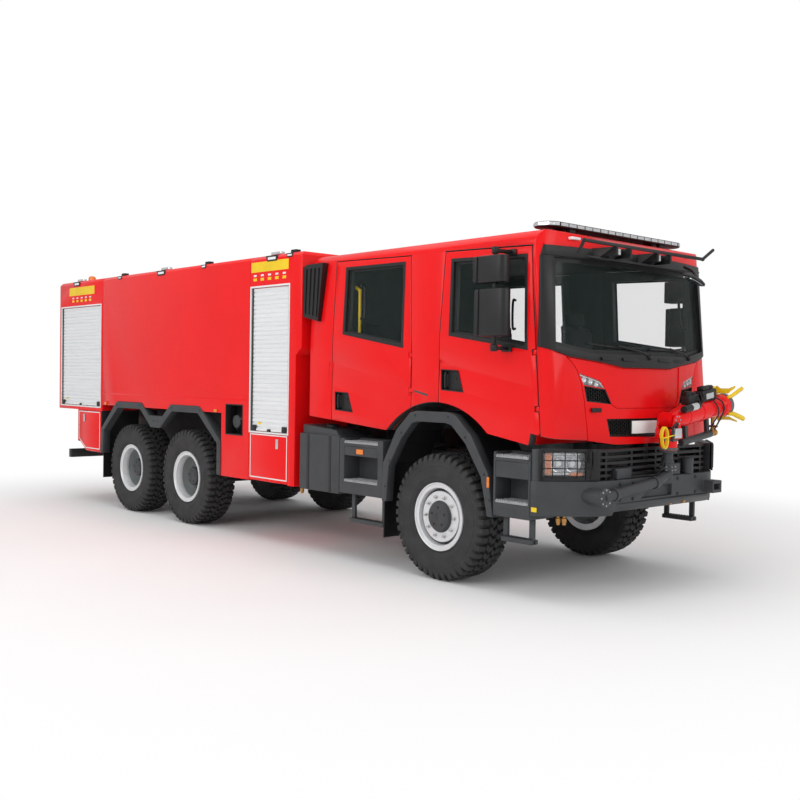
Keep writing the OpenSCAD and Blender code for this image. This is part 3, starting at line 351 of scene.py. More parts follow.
def skinCopy(node, bevel=0.004, segments=2, angle=35, inside=None):  # inside as finish and test
    bm = bmesh.new()
    bm.from_mesh(nodes[node].data)
    bmesh.ops.remove_doubles(bm, verts=bm.verts, dist=2e-5)
    mesh = bpy.data.meshes.new(node + "_skin")
    bm.to_mesh(mesh)
    bm.free()
    mesh.materials.clear()
    mesh.materials.append(slotFinish[nodeSlot[node]])
    obj = linkMesh(node + "_skin", mesh)
    if bevel:
        settle(addBevel(obj, bevel, segments, angle))
    shade(obj.data, angle)
    if inside:
        obj.data.materials.append(inside[0])
        for f in obj.data.polygons:
            if inside[1](f.center - Vector((axleX, 0, 0)), f.normal):
                f.material_index = 1
    return carry(obj, nodeBody[node], (node,))


print("building blocks ready")


# wheels
tyreSet = {"pitches": 44, "crown": 0.565,
           "side": [(0.2575, 0.149), (0.311, 0.1495), (0.320, 0.157), (0.331, 0.166), (0.348, 0.1730), (0.360, 0.1765),
                    (0.362, 0.1785), (0.370, 0.1785), (0.372, 0.1780), (0.400, 0.1812), (0.425, 0.1822),
                    (0.446, 0.1818), (0.449, 0.1838), (0.457, 0.1838), (0.460, 0.1812), (0.486, 0.1800),
                    (0.504, 0.1770), (0.520, 0.1690), (0.530, 0.1560), (0.536, 0.1300), (0.538, 0.0600)],
           "shoulder": [(0.100, 0.5645, 0.532), (0.142, 0.5620, 0.530), (0.168, 0.5530, 0.522), (0.1800, 0.5280, 0.508),
                        (0.1825, 0.5020, 0.494)],
           "middle": [(0.006, 0.565, 0.533), (0.046, 0.565, 0.533), (0.088, 0.565, 0.533)]}
wheelSet = {"front": {"x": 0.0, "y": 1.043, "disc": 0.134, "hub": 0.166, "drum": 0.138, "studs": 0.178},
            "mid": {"x": -4.3, "y": 1.07, "disc": -0.012, "hub": 0.088, "drum": 0.114, "studs": 0.156},
            "rear": {"x": -5.7, "y": 1.07, "disc": -0.012, "hub": 0.088, "drum": 0.114, "studs": 0.156}}
dishGrey = makeFinish("dishGrey", (0.135, 0.150, 0.148), (0.110, 0.122, 0.122), rough=0.5, grain=300,
                      bump=0.05, patch=9)
hubGrey = makeFinish("hubGrey", (0.050, 0.053, 0.056), (0.036, 0.038, 0.041), rough=0.5, grain=400, bump=0.08, patch=12)
zincBolt = makeFinish("zincBolt", (0.52, 0.52, 0.51), (0.40, 0.40, 0.39), rough=0.35, metal=0.8, grain=300,
                      bump=0.05, patch=30)


def addBlock(bm, sections, start, end, shear, mirror):  # one tread block from its sections across the tread
    rows = []
    for y, top, low in sections:
        a0, a1 = start + shear * y, end + shear * y
        ring = [(low, a0), (top, a0 + 0.010), (top, a1 - 0.010), (low, a1)]
        rows.append([bm.verts.new((r * math.sin(a), y * mirror, r * math.cos(a))) for r, a in ring])
    joinRings(bm, rows)


def makeTyre(label, node, body, center, s):
    bm = bmesh.new()
    half = s["side"]
    addLathe(bm, half + [(r, -y) for r, y in reversed(half)], center, (0, 1, 0), 72)
    makePiece("tyreCarcass_" + label, bm, tyreRubber, body, angle=28, replaced=(node,))
    pitch = 2 * math.pi / s["pitches"]
    block = bmesh.new()
    for mirror, offset in ((1, 0.0), (-1, 0.5)):
        addBlock(block, s["shoulder"], pitch * offset, pitch * (offset + 0.70), 0.0, mirror)
        addBlock(block, s["middle"][1:], pitch * (offset + 0.30), pitch * (offset + 1.02), -0.75, mirror)
        addBlock(block, s["middle"][:2], pitch * (offset + 0.02), pitch * (offset + 0.72), 0.9, mirror)
    turns = [(0, pitch * k, 0) for k in range(s["pitches"])]
    placeCopies("tyreTread_" + label, block, [center] * s["pitches"], tyreRubber, body, turns, angle=25)


def makeWheel(axle, side):
    s = wheelSet[axle]
    sign = 1 if side == "left" else -1
    label = axle + "_" + side
    node = "_" + axle + ("_l" if side == "left" else "_r")
    body = "wheel_" + label
    center = spot(s["x"], s["y"] * sign, tyreSet["crown"])
    out = Vector((0, sign, 0))
    makeTyre(label, "tyre" + node, body, center, tyreSet)
    bm = bmesh.new()
    addLathe(bm, [(0.243, -0.164), (0.302, -0.164), (0.305, -0.161), (0.305, -0.1503), (0.257, -0.1503),
                  (0.257, 0.1503), (0.305, 0.1503), (0.305, 0.160), (0.302, 0.1645), (0.296, 0.1655), (0.290, 0.162),
                  (0.286, 0.1545), (0.268, 0.1530), (0.258, 0.1480), (0.252, 0.1300), (0.2475, 0.1060),
                  (0.243, 0.0900)], center, out, 64)
    makePiece("rimRing_" + label, bm, wheelSilver, body, angle=40, replaced=("rim" + node,))
    d, h = s["disc"], s["hub"]
    bm = bmesh.new()
    if axle == "front":
        addLathe(bm, [(0.051, d - 0.09), (0.08, d - 0.09), (0.08, d - 0.03), (0.19, d - 0.03), (0.2425, d - 0.085),
                      (0.2425, d - 0.072), (0.231, d - 0.062), (0.227, d - 0.055), (0.227, d - 0.005), (0.222, d),
                      (0.112, d), (0.051, d - 0.004)], center, out, 64)
        makePiece("wheelDisc_" + label, bm, wheelSilver, body, angle=30)
        bm = bmesh.new()  # black ring in the groove between disc and rim, painted shade: the groove itself is silver metal in shadow
        addLathe(bm, [(0.2275, d - 0.050), (0.2420, d - 0.058), (0.2420, d - 0.022), (0.2275, d - 0.022)],
                 center, out, 64)
        makePiece("rimGroove_" + label, bm, blackPlastic, body, angle=30)
    else:
        addLathe(bm, [(0.051, d - 0.09), (0.08, d - 0.09), (0.08, d - 0.03), (0.17, d - 0.03), (0.2425, d + 0.030),
                      (0.2425, d + 0.090), (0.236, d + 0.082), (0.215, d + 0.040), (0.180, d + 0.008), (0.160, d),
                      (0.115, d), (0.051, d - 0.004)], center, out, 64)
        makePiece("wheelDisc_" + label, bm, dishGrey, body, angle=30)
    bm = bmesh.new()
    r = s["drum"]
    addLathe(bm, [(0.0, d - 0.002), (r + 0.004, d - 0.002), (r + 0.004, d + 0.006), (r - 0.002, d + 0.010),
                  (r - 0.006, h - 0.014), (r - 0.012, h - 0.005), (r - 0.024, h), (0.030, h), (0.026, h - 0.004),
                  (0.0, h - 0.004)], center, out, 48)
    makePiece("wheelHub_" + label, bm, hubGrey, body, angle=30)
    bolt = bmesh.new()
    addLathe(bolt, [(0.0, -0.002), (0.016, -0.002), (0.016, 0.006), (0.0125, 0.008), (0.0125, 0.024),
                    (0.008, 0.027), (0.0, 0.027)],
             (0, 0, 0), out, 12)

    def ring(radius, along, turns):
        return [center + Vector((radius * math.sin(a), 0, radius * math.cos(a))) + out * along for a in turns]
    studFinish = zincBolt if axle == "front" else dishGrey
    placeCopies("wheelStuds_" + label, bolt, ring(s["studs"], d, angles(10, 0.5)), studFinish, body)
    cap = bmesh.new()
    addLathe(cap, [(0.0, -0.003), (0.013, -0.003), (0.013, 0.0015), (0.010, 0.003), (0.0, 0.003)], (0, 0, 0), out, 12)
    placeCopies("hubBolts_" + label, cap, ring(r * 0.6, h, angles(5)), blackPlastic, body)


for axle in wheelSet:
    for side in ("left", "right"):
        makeWheel(axle, side)
print("wheels made")


# smooth copies of the shaped panels
trimGrey = makeFinish("cabLining", (0.075, 0.080, 0.079), (0.060, 0.064, 0.063), rough=0.75, grain=600,
                      bump=0.15, patch=8)


def doorInside(p, n):  # lining, and a dark rim all round the edge: partly a rubber seal, partly painted shade in the gap between door and cab
    return n.y * p.y < 0.3 * abs(p.y) and abs(p.y) < 1.20


def shellInside(p, n):  # lining of roof, floor, walls and door jambs
    roofOrFloor = (p.z > 2.8 and n.z < -0.3) or (p.z < 1.9 and n.z > 0.5) or (p.z < 1.75 and n.z < -0.3)
    endWall = (p.x < -1.7 and n.x > 0.5) or (p.x > 0.85 and n.x < -0.4)
    deep = 1.36 < p.z < 2.83 and abs(p.y) < 1.125 and -1.83 < p.x < 1.05
    jamb = abs(n.x) > 0.6 and abs(p.y) < 1.205 and -1.8 < p.x < 1.0 and p.z > 1.3
    flank = n.y * p.y < 0 and abs(n.y) > 0.4 and abs(p.y) < 1.165 and p.x < 1.0
    return roofOrFloor or endWall or deep or jamb or flank


def archInside(p, n):  # dark coat inside the rear wheel arches
    return -7.3 < p.x < -3.3 and p.z < 1.46 and abs(p.y) < 1.25 and abs(n.y) < 0.6


skinCopy("cab_shell", 0.004, inside=(trimGrey, shellInside))
skinCopy("front_panel", 0, angle=0.3, inside=(trimGrey, lambda p, n: n.x < -0.5))
for k in ("l", "r"):
    # door edges get painted shade for the gap between door and cab, besides the inside lining
    skinCopy("door_front_" + k, 0.004, inside=(trimGrey, doorInside))
    skinCopy("door_rear_" + k, 0.004, inside=(trimGrey, doorInside))
    skinCopy("flap_front_" + k, 0.003)
    skinCopy("flap_rear_" + k, 0.003)
    skinCopy("mirror_" + k, 0.012, 3)
for node in ("body_front", "body_tank", "body_rear"):
    skinCopy(node, 0.006, 3, inside=(frameBlack, archInside))
for node in ("bumper", "arch_flares", "cab_steps"):
    skinCopy(node, 0.008, 3)
for node in ("monitor_pipe", "monitor_yoke", "visor", "light_bar", "roof_ladder", "air_intake", "cowl"):
    skinCopy(node, 0.003)
for node in ("engine", "front_axle", "rear_axles", "knuckle_l", "knuckle_r", "chassis_frame", "rear_beam", "dashboard"):
    skinCopy(node, 0.005)
print("smooth copies made")


# cab front
frontSet = {"nose": 1.326, "bow": 4.5, "bend": 1.083, "corner": 0.18, "cornerX": 1.0189, "cornerY": 1.04,
            "lean": math.radians(5), "leanZ": 1.87}


def frontX(y, z, depth=0.0):  # the bowed and leaning cab front
    f = frontSet
    y, bow, corner = abs(y), f["bow"] - depth, f["corner"] - depth
    if y < f["bend"]:
        plan = f["nose"] - f["bow"] + math.sqrt(bow * bow - y * y)
    else:
        plan = f["cornerX"] + math.sqrt(max(corner * corner - (y - f["cornerY"]) ** 2, 0.0))
    return plan / math.cos(f["lean"]) - (z - f["leanZ"]) * math.tan(f["lean"])


def insideOutline(p, outline, margin=0.0):
    hit = False
    n = len(outline)
    for i in range(n):
        (x1, y1), (x2, y2) = outline[i], outline[(i + 1) % n]
        length = math.hypot(x2 - x1, y2 - y1)
        t = max(0.0, min(1.0, ((p[0] - x1) * (x2 - x1) + (p[1] - y1) * (y2 - y1)) / (length * length)))
        if math.hypot(p[0] - x1 - t * (x2 - x1), p[1] - y1 - t * (y2 - y1)) < margin:
            return False
        if (y1 > p[1]) != (y2 > p[1]) and p[0] < (x2 - x1) * (p[1] - y1) / (y2 - y1) + x1:
            hit = not hit
    return hit


def addHexCell(bm, radius, wall, depth):  # a hexagon frame that faces along x
    rings = []
    for r, x in ((radius, 0), (radius - wall, 0), (radius - wall, -depth), (radius, -depth)):
        rings.append([bm.verts.new((x, r * math.cos(a), r * math.sin(a))) for a in angles(6)])
    joinRings(bm, rings, False)


meshSet = {"cell": 0.019, "wall": 0.0035, "depth": 0.012, "inset": 0.014,
           "patches": [[(-0.804, 1.750), (-0.563, 1.722), (-0.499, 1.596), (-0.784, 1.620)],
                       [(0.804, 1.750), (0.563, 1.722), (0.499, 1.596), (0.784, 1.620)],
                       [(-0.544, 1.329), (0.544, 1.329), (0.571, 1.477), (-0.571, 1.477)]]}


def makeMesh(s):
    cell = bmesh.new()
    addHexCell(cell, s["cell"], s["wall"], s["depth"])
    spots = []
    stepY, stepZ = s["cell"] * 1.5 - s["wall"] * 0.8, (s["cell"] - s["wall"] * 0.5) * math.sqrt(3)
    for outline in s["patches"]:
        ys, zs = [p[0] for p in outline], [p[1] for p in outline]
        for i in range(int((max(ys) - min(ys)) / stepY) + 1):
            for j in range(int((max(zs) - min(zs)) / stepZ) + 2):
                y, z = min(ys) + i * stepY, min(zs) + (j + 0.5 * (i % 2)) * stepZ
                if insideOutline((y, z), outline, s["cell"] * 0.8):
                    spots.append(spot(frontX(y, z, s["inset"]), y, z))
    placeCopies("frontMesh", cell, spots, blackPlastic)
    bm = bmesh.new()
    for outline in s["patches"]:  # rims round the openings
        n = len(outline)
        cy, cz = sum(p[0] for p in outline) / n, sum(p[1] for p in outline) / n
        rows = []
        for grow, d in ((0.0, 0.002), (-0.010, 0.002), (-0.010, 0.026), (0.0, 0.026)):
            row = []
            for i in range(n):
                a, b = outline[i], outline[(i + 1) % n]
                for t in (k / 6 for k in range(6)):
                    y, z = a[0] + (b[0] - a[0]) * t, a[1] + (b[1] - a[1]) * t
                    away = math.hypot(y - cy, z - cz)
                    y, z = y + (y - cy) / away * (grow - 0.001), z + (z - cz) / away * (grow - 0.001)
                    row.append(bm.verts.new(spot(frontX(y, z, d), y, z)))
            rows.append(row)
        joinRings(bm, rows, False)
    makePiece("meshRims", bm, blackPlastic, angle=30)


makeMesh(meshSet)
plateWhite = makeFinish("plateWhite", (0.86, 0.86, 0.85), (0.80, 0.80, 0.79), rough=0.4, grain=200, bump=0.02, patch=6)
bm = bmesh.new()
addBox(bm, spot(1.325, -0.27, 1.342), spot(1.362, 0.23, 1.462))
makePiece("plateHolder", bm, blackPlastic, bevel=0.004)
bm = bmesh.new()
addBox(bm, spot(1.360, -0.26, 1.348), spot(1.366, 0.22, 1.456))
makePiece("blankPlate", bm, plateWhite, bevel=0.002)
bm = bmesh.new()
addBox(bm, spot(frontX(0.69, 1.55) - 0.004, -0.749, 1.532), spot(frontX(0.69, 1.55) + 0.016, -0.627, 1.568))
makePiece("frontMarker", bm, blackPlastic, bevel=0.005)

# lamps
amber = makeFinish("amberLens", (0.85, 0.22, 0.015), (0.75, 0.17, 0.010), rough=0.18, grain=120, bump=0.1,
                   patch=40, coat=0.6)
redLens = makeFinish("redLens", (0.55, 0.010, 0.012), (0.45, 0.007, 0.009), rough=0.18, grain=120, bump=0.1,
                     patch=40, coat=0.6)
lampSilver = makeFinish("lampSilver", (0.80, 0.81, 0.83), (0.62, 0.63, 0.65), rough=0.16, roughSpread=0.08, metal=0.9,
                        grain=90, bump=0.12, patch=26)
lampWhite = makeFinish("lampWhite", (0.88, 0.89, 0.90), (0.78, 0.79, 0.81), rough=0.2, grain=90, bump=0.1,
                       patch=20, coat=0.4)
clearCover = makeFinish("clearCover", (0.80, 0.82, 0.84), (0.76, 0.78, 0.80), rough=0.03, roughSpread=0.01, grain=3,
                        bump=0, patch=1, alpha=0.12, coat=0.6)
lampSet = {"nose": (1.100, 0.663, 0.400), "face": math.radians(37.7)}


def bumperSkin(t, inset, side):  # along the slanted lamp face; t in metres from its front end, inset into the bumper
    cx, cy, r = lampSet["nose"]
    a = lampSet["face"]
    n, along = Vector((math.cos(a), math.sin(a))), Vector((-math.sin(a), math.cos(a)))
    p = Vector((cx, cy)) + n * (r - inset) + along * t
    return p.x, p.y * side


def addFacePanel(bm, t0, t1, z0, z1, front, back, side):  # block that follows the lamp face
    rings = []
    for z in (z0, z1):
        corners = ((t0, front), (t1, front), (t1, back), (t0, back))
        rings.append([bm.verts.new(spot(*bumperSkin(t, d, side), z)) for t, d in corners])
    joinRings(bm, rings)


def makeHeadlamp(side):
    label = "left" if side > 0 else "right"
    bm = bmesh.new()
    addFacePanel(bm, 0.068, 0.340, 1.024, 1.211, 0.070, 0.092, side)
    makePiece("headlampBack_" + label, bm, lampWhite, bevel=0.004, replaced=("lamps",) if side > 0 else ())
    bm = bmesh.new()  # frame round the lamp
    for t0, t1, z0, z1 in ((-0.090, 0.028, 0.990, 1.244), (0.376, 0.404, 0.990, 1.244),
                           (0.028, 0.376, 0.990, 1.019), (0.028, 0.376, 1.216, 1.244)):
        addFacePanel(bm, t0, t1, z0, z1, -0.008, 0.011, side)
    makePiece("headlampFrame_" + label, bm, blackPlastic, bevel=0.005, segments=3)
    bm = bmesh.new()
    facing = (math.cos(lampSet["face"]), math.sin(lampSet["face"]) * side, 0)
    for t, z, r in ((0.125, 1.118, 0.060), (0.238, 1.120, 0.062)):
        addLathe(bm, [(0.0, -0.006), (r * 0.45, -0.004), (r * 0.8, 0.012), (r, 0.034), (r + 0.005, 0.036),
                      (r + 0.005, -0.004), (r * 0.5, -0.012), (0.0, -0.012)],
                 spot(*bumperSkin(t, 0.068, side), z), facing, 32)
    addFacePanel(bm, 0.066, 0.295, 1.034, 1.046, 0.040, 0.068, side)
    addFacePanel(bm, 0.066, 0.295, 1.194, 1.204, 0.040, 0.068, side)
    makePiece("headlampBowls_" + label, bm, lampSilver, angle=30)
    bm = bmesh.new()
    for t, z, r in ((0.125, 1.118, 0.024), (0.238, 1.120, 0.026)):
        addLathe(bm, [(0.0, 0.0), (r, 0.0), (r, 0.012), (r * 0.7, 0.022), (0.0, 0.026)],
                 spot(*bumperSkin(t, 0.060, side), z), facing, 24)
    makePiece("headlampBulbs_" + label, bm, lampWhite, angle=30)
    bm = bmesh.new()
    addFacePanel(bm, 0.300, 0.352, 1.030, 1.206, 0.034, 0.070, side)
    addFacePanel(bm, 0.040, 0.150, 1.024, 1.050, 0.028, 0.042, side)
    makePiece("headlampAmber_" + label, bm, amber, bevel=0.004)
    bm = bmesh.new()
    addFacePanel(bm, 0.030, 0.374, 1.023, 1.212, 0.020, 0.026, side)
    makePiece("headlampCover_" + label, bm, clearCover, bevel=0.002)
    bm = bmesh.new()
    for z in (1.086, 1.150):
        addTube(bm, [spot(*bumperSkin(t, -0.016, side), z) for t in (-0.01, 0.1, 0.25, 0.40)], 0.0045)
    upright = ((0.008, 1.000), (-0.016, 1.012), (-0.016, 1.222), (0.008, 1.232))
    for t, r in ((0.10, 0.0045), (0.20, 0.0045), (0.30, 0.0045), (-0.01, 0.0055), (0.40, 0.0055)):
        addTube(bm, [spot(*bumperSkin(t, d, side), z) for d, z in upright], r)
    makePiece("headlampGuard_" + label, bm, blackPlastic, angle=60)
    outline = [(0.846, 1.852), (0.624, 1.793), (0.565, 1.728), (0.806, 1.756)]
    parts = {"Back": (0.0, 0.026, 0.040, blackPlastic), "Cover": (0.004, 0.003, 0.006, clearCover)}
    for part, (inset, d0, d1, finish) in parts.items():
        bm = bmesh.new()
        cy, cz = sum(p[0] for p in outline) / 4, sum(p[1] for p in outline) / 4
        rings = []
        for d in (d0, d1):
            rings.append([])
            for y, z in outline:
                y, z = y + (cy - y) * inset * 5, z + (cz - z) * inset * 5
                rings[-1].append(bm.verts.new(spot(frontX(y, z, d), y * side, z)))
        joinRings(bm, rings)
        makePiece("upperLamp" + part + "_" + label, bm, finish, bevel=0.002)
    bm = bmesh.new()
    for y, z, r in ((0.790, 1.796, 0.022), (0.722, 1.782, 0.021), (0.655, 1.762, 0.019)):
        addLathe(bm, [(0.0, 0.0), (r * 0.6, 0.003), (r, 0.016), (r + 0.003, 0.016), (r + 0.003, -0.003), (0.0, -0.003)],
                 spot(frontX(y, z, 0.024), y * side, z), (1, 0.15 * side, 0), 24)
    addTube(bm, [spot(frontX(y, z, 0.012), y * side, z) for y, z in ((0.836, 1.838), (0.735, 1.812), (0.628, 1.784),
                                                                     (0.580, 1.735))], 0.006)
    makePiece("upperLampBowls_" + label, bm, lampSilver, angle=30)


for side in (-1, 1):
    makeHeadlamp(side)


bodyLampSet = {"roof": 3.0765, "edge": 1.19, "back": -7.8605, "tail": 1.15, "tails": (1.33, 1.47, 1.61),
               "beacon": (-7.6, 0.9), "long": (-7.3, -4.9, -2.52), "short": (-6.0, -3.9, -2.2)}


def makeBodyLamps(s):
    roof, edge = s["roof"], s["edge"]
    low, middle, high = s["tails"]
    lens = [(0.0, 0.022), (0.050, 0.022), (0.048, 0.028), (0.030, 0.031), (0.0, 0.032)]
    bm = bmesh.new()
    for side in (-1, 1):
        for x in s["long"]:
            addBox(bm, spot(x - 0.09, side * edge - 0.03, roof), spot(x + 0.09, side * edge + 0.03, 3.110))
    makePiece("topLamps", bm, lampSilver, bevel=0.008, segments=3)
    bm = bmesh.new()
    for side in (-1, 1):
        for x in s["short"]:
            addBox(bm, spot(x - 0.045, side * edge - 0.03, roof), spot(x + 0.045, side * edge + 0.03, 3.108))
        addLathe(bm, [(0.0, 0.0), (0.065, 0.0), (0.065, 0.022), (0.055, 0.030), (0.0, 0.030)],
                 spot(s["beacon"][0], side * s["beacon"][1], roof), (0, 0, 1), 32)
        for z in s["tails"]:
            addLathe(bm, [(0.0, 0.0), (0.060, 0.0), (0.060, 0.018), (0.056, 0.024), (0.0, 0.024)],
                     spot(s["back"], side * s["tail"], z), (-1, 0, 0), 32)
    makePiece("smallLamps", bm, blackPlastic)
    bm = bmesh.new()
    for side in (-1, 1):
        addLathe(bm, [(0.0, 0.028), (0.053, 0.028), (0.053, 0.085), (0.045, 0.108), (0.025, 0.119), (0.0, 0.120)],
                 spot(s["beacon"][0], side * s["beacon"][1], roof), (0, 0, 1), 32)
        addLathe(bm, lens, spot(s["back"], side * s["tail"], middle), (-1, 0, 0), 32)
        for x in (-6.371, -3.601):  # side markers on the rear flares, the front flare and the step panel
            addFlankBox(bm, side, (x - 0.030, x + 0.030), (1.264, 1.280), (1.362, 1.398))
        addFlankBox(bm, side, (0.634, 0.662), (1.257, 1.269), (0.885, 0.975))
        addFlankBox(bm, side, (-1.085, -0.985), (1.250, 1.262), (1.050, 1.098))
    makePiece("amberLamps", bm, amber, bevel=0.006, segments=3)
    bm = bmesh.new()
    for side in (-1, 1):
        for z in (low, high):
            addLathe(bm, lens, spot(s["back"], side * s["tail"], z), (-1, 0, 0), 32)
    makePiece("tailLamps", bm, redLens, angle=30)


makeBodyLamps(bodyLampSet)
print("lamps made")


# cab glazing, handles and roof fittings
def insetOutline(outline, d):  # outline moved inwards by d
    n = len(outline)
    area = sum(outline[i][0] * outline[(i + 1) % n][1] - outline[(i + 1) % n][0] * outline[i][1] for i in range(n))
    turn = 1 if area > 0 else -1
    out = []
    for i in range(n):
        a, b, c = (Vector(outline[(i + k) % n]) for k in (-1, 0, 1))
        u, v = (b - a).normalized(), (c - b).normalized()
        nu, nv = Vector((-u.y, u.x)) * turn, Vector((-v.y, v.x)) * turn
        half = (nu + nv).normalized()
        out.append(b + half * (d / max(half.dot(nu), 0.2)))
    return out


def addSurround(bm, outline, rows, place, cuts=6):  # closed band that follows an outline; rows as inset and depth
    rings = []
    for inset, depth in rows:
        pts = insetOutline(outline, inset)
        ring = []
        for i, a in enumerate(pts):
            b = pts[(i + 1) % len(pts)]
            ring += [bm.verts.new(place(a + (b - a) * (k / cuts), depth)) for k in range(cuts)]
        rings.append(ring)
    joinRings(bm, rings, False)


def frontPlace(p, d):
    return spot(frontX(p[0], p[1], d), p[0], p[1])


cabFlankSet = {"half": 1.22, "belt": 2.15, "top": 2.905, "lean": 0.04}


def flankY(z):  # outer face of the doors, which leans in above the belt
    f = cabFlankSet
    return f["half"] - f["lean"] * max(z - f["belt"], 0.0) / (f["top"] - f["belt"])


def doorPlace(side):
    def place(p, d):
        return spot(p[0], side * (flankY(p[1]) - d), p[1])
    return place


mirrorGlass = makeFinish("mirrorGlass", (0.75, 0.77, 0.79), (0.70, 0.72, 0.74), rough=0.04, roughSpread=0.02, metal=1.0,
                         grain=4, bump=0, patch=2)
sealRubber = makeFinish("sealRubber", (0.012, 0.012, 0.013), (0.007, 0.007, 0.008), rough=0.5, grain=500,
                        bump=0.06, patch=20)
screenOutline = [(-1.085, 2.072), (-0.7, 2.01), (0.7, 2.01), (1.085, 2.072), (1.05, 2.792), (-1.05, 2.792)]
bm = bmesh.new()
addSurround(bm, screenOutline, [(-0.012, -0.0015), (0.0, -0.0015), (0.004, 0.0205), (0.038, 0.0205), (0.038, 0.0216),
                                (0.0008, 0.0216), (0.0008, 0.001), (-0.012, 0.001)], frontPlace, 10)
makePiece("windscreenSeal", bm, sealRubber, angle=30)
bm = bmesh.new()
addSurround(bm, screenOutline, [(0.0008, 0.031), (0.0008, 0.0795), (0.003, 0.0795), (0.003, 0.031)], frontPlace, 10)
makePiece("windscreenReveal", bm, trimGrey, angle=30)

windowSet = {"front": {"outline": [(0.138, 2.190), (0.988, 2.064), (0.945, 2.789), (0.123, 2.811)],
                       "handle": [(0.025, 1.868), (0.228, 1.860), (0.298, 1.676), (0.030, 1.692)],
                       "bar": (0.075, 1.705, 1.845)},
             "rear": {"outline": [(-1.342, 2.232), (-0.507, 2.097), (-0.528, 2.832), (-1.342, 2.838)],
                      "handle": [(-1.472, 1.642), (-1.270, 1.634), (-1.198, 1.450), (-1.468, 1.466)],
                      "bar": (-1.425, 1.480, 1.622)}}


def makeDoorTrim(door, side):
    s = windowSet[door]
    label = door + ("Left" if side > 0 else "Right")
    body = door + "_door_" + ("left" if side > 0 else "right")
    place = doorPlace(side)
    bm = bmesh.new()
    addSurround(bm, s["outline"], [(-0.030, 0.001), (-0.028, -0.003), (-0.002, -0.003), (0.004, 0.004), (0.005, 0.0235),
                                   (0.022, 0.0238), (0.022, 0.0246), (0.0008, 0.0246), (0.0008, 0.001)], place, 8)
    makePiece("windowSeal" + label, bm, sealRubber, body, angle=30)
    bm = bmesh.new()
    addSurround(bm, s["outline"], [(0.0008, 0.034), (0.0008, 0.0815), (-0.030, 0.0815), (-0.030, 0.0840),
                                   (0.006, 0.0840), (0.006, 0.034)], place, 8)
    makePiece("windowReveal" + label, bm, trimGrey, body, angle=30)
    bm = bmesh.new()
    addSurround(bm, s["handle"], [(-0.004, -0.0015), (0.0010, -0.0015), (0.006, 0.004), (0.008, 0.0335),
                                  (0.010, 0.0346), (0.0008, 0.0346), (0.0008, 0.001), (-0.004, 0.001)], place, 4)
    floor = insetOutline(s["handle"], 0.004)
    joinRings(bm, [[bm.verts.new(place(p, d)) for p in floor] for d in (0.0322, 0.0346)])
    makePiece("handlePan" + label, bm, blackPlastic, body, angle=30)
    x, low, high = s["bar"]
    bm = bmesh.new()
    addTube(bm, smoothPath([place((x, low), 0.033), place((x, low + 0.012), 0.006), place((x, (low + high) / 2), 0.002),
                            place((x, high - 0.012), 0.006), place((x, high), 0.033)], 5), 0.011, 12)
    addLathe(bm, [(0.0, 0.0), (0.014, 0.0), (0.014, 0.005), (0.009, 0.007), (0.0, 0.007)],
             place((x + 0.10, low + 0.09), 0.0325), (0, side, 0), 20)
    makePiece("handleBar" + label, bm, blackPlastic, body, angle=50)
    bm = bmesh.new()  # inside: arm rest and map pocket
    x0 = s["outline"][0][0]
    addFlankBox(bm, side, (x0 + 0.10, x0 + 0.62), (1.091, 1.136), (1.93, 1.985))
    addFlankBox(bm, side, (x0 + 0.10, x0 + 0.60), (1.106, 1.136), (1.66, 1.80))
    makePiece("doorInside" + label, bm, blackPlastic, body, bevel=0.012, segments=3)
    if door == "rear":
        bm = bmesh.new()
        addTube(bm, smoothPath([spot(-1.20, side * 1.130, 2.36), spot(-1.20, side * 1.085, 2.38),
                                spot(-1.20, side * 1.085, 2.66), spot(-1.20, side * 1.130, 2.68)], 5), 0.014, 12)
        makePiece("grabBar" + label, bm, blackPlastic, body, angle=50)


for door in windowSet:
    for side in (-1, 1):
        makeDoorTrim(door, side)


def makeWipers():
    bm = bmesh.new()
    blades = [[(-0.74, 2.098), (-0.40, 2.074), (-0.06, 2.076)], [(0.06, 2.070), (0.38, 2.072), (0.70, 2.096)]]
    arms = [[(0.02, 2.000), (-0.12, 2.046), (-0.40, 2.084)], [(0.72, 2.008), (0.60, 2.050), (0.38, 2.082)]]
    for blade, arm in zip(blades, arms):
        addTube(bm, smoothPath([spot(frontX(y, z, 0.012), y, z) for y, z in blade], 8), 0.008, 8)
        lifts = (-0.020, -0.006, -0.006)
        addTube(bm, smoothPath([spot(frontX(y, z, d), y, z + 0.004) for d, (y, z) in zip(lifts, arm)], 6), 0.0085, 8)
        y, z = arm[0]
        addLathe(bm, [(0.0, -0.012), (0.022, -0.012), (0.022, 0.010), (0.016, 0.016), (0.0, 0.016)],
                 spot(frontX(y, z, -0.022), y, z), (1, 0, 0.09), 20)
    makePiece("wipers", bm, blackPlastic, angle=50)
    bm = bmesh.new()  # cowl ribs
    for y in (-0.52, -0.26, 0.26, 0.52):
        addBox(bm, spot(frontX(y, 1.975, -0.012), y - 0.10, 1.962), spot(frontX(y, 1.975, -0.026), y + 0.10, 1.990))
    makePiece("cowlRibs", bm, blackPlastic, bevel=0.004)


makeWipers()


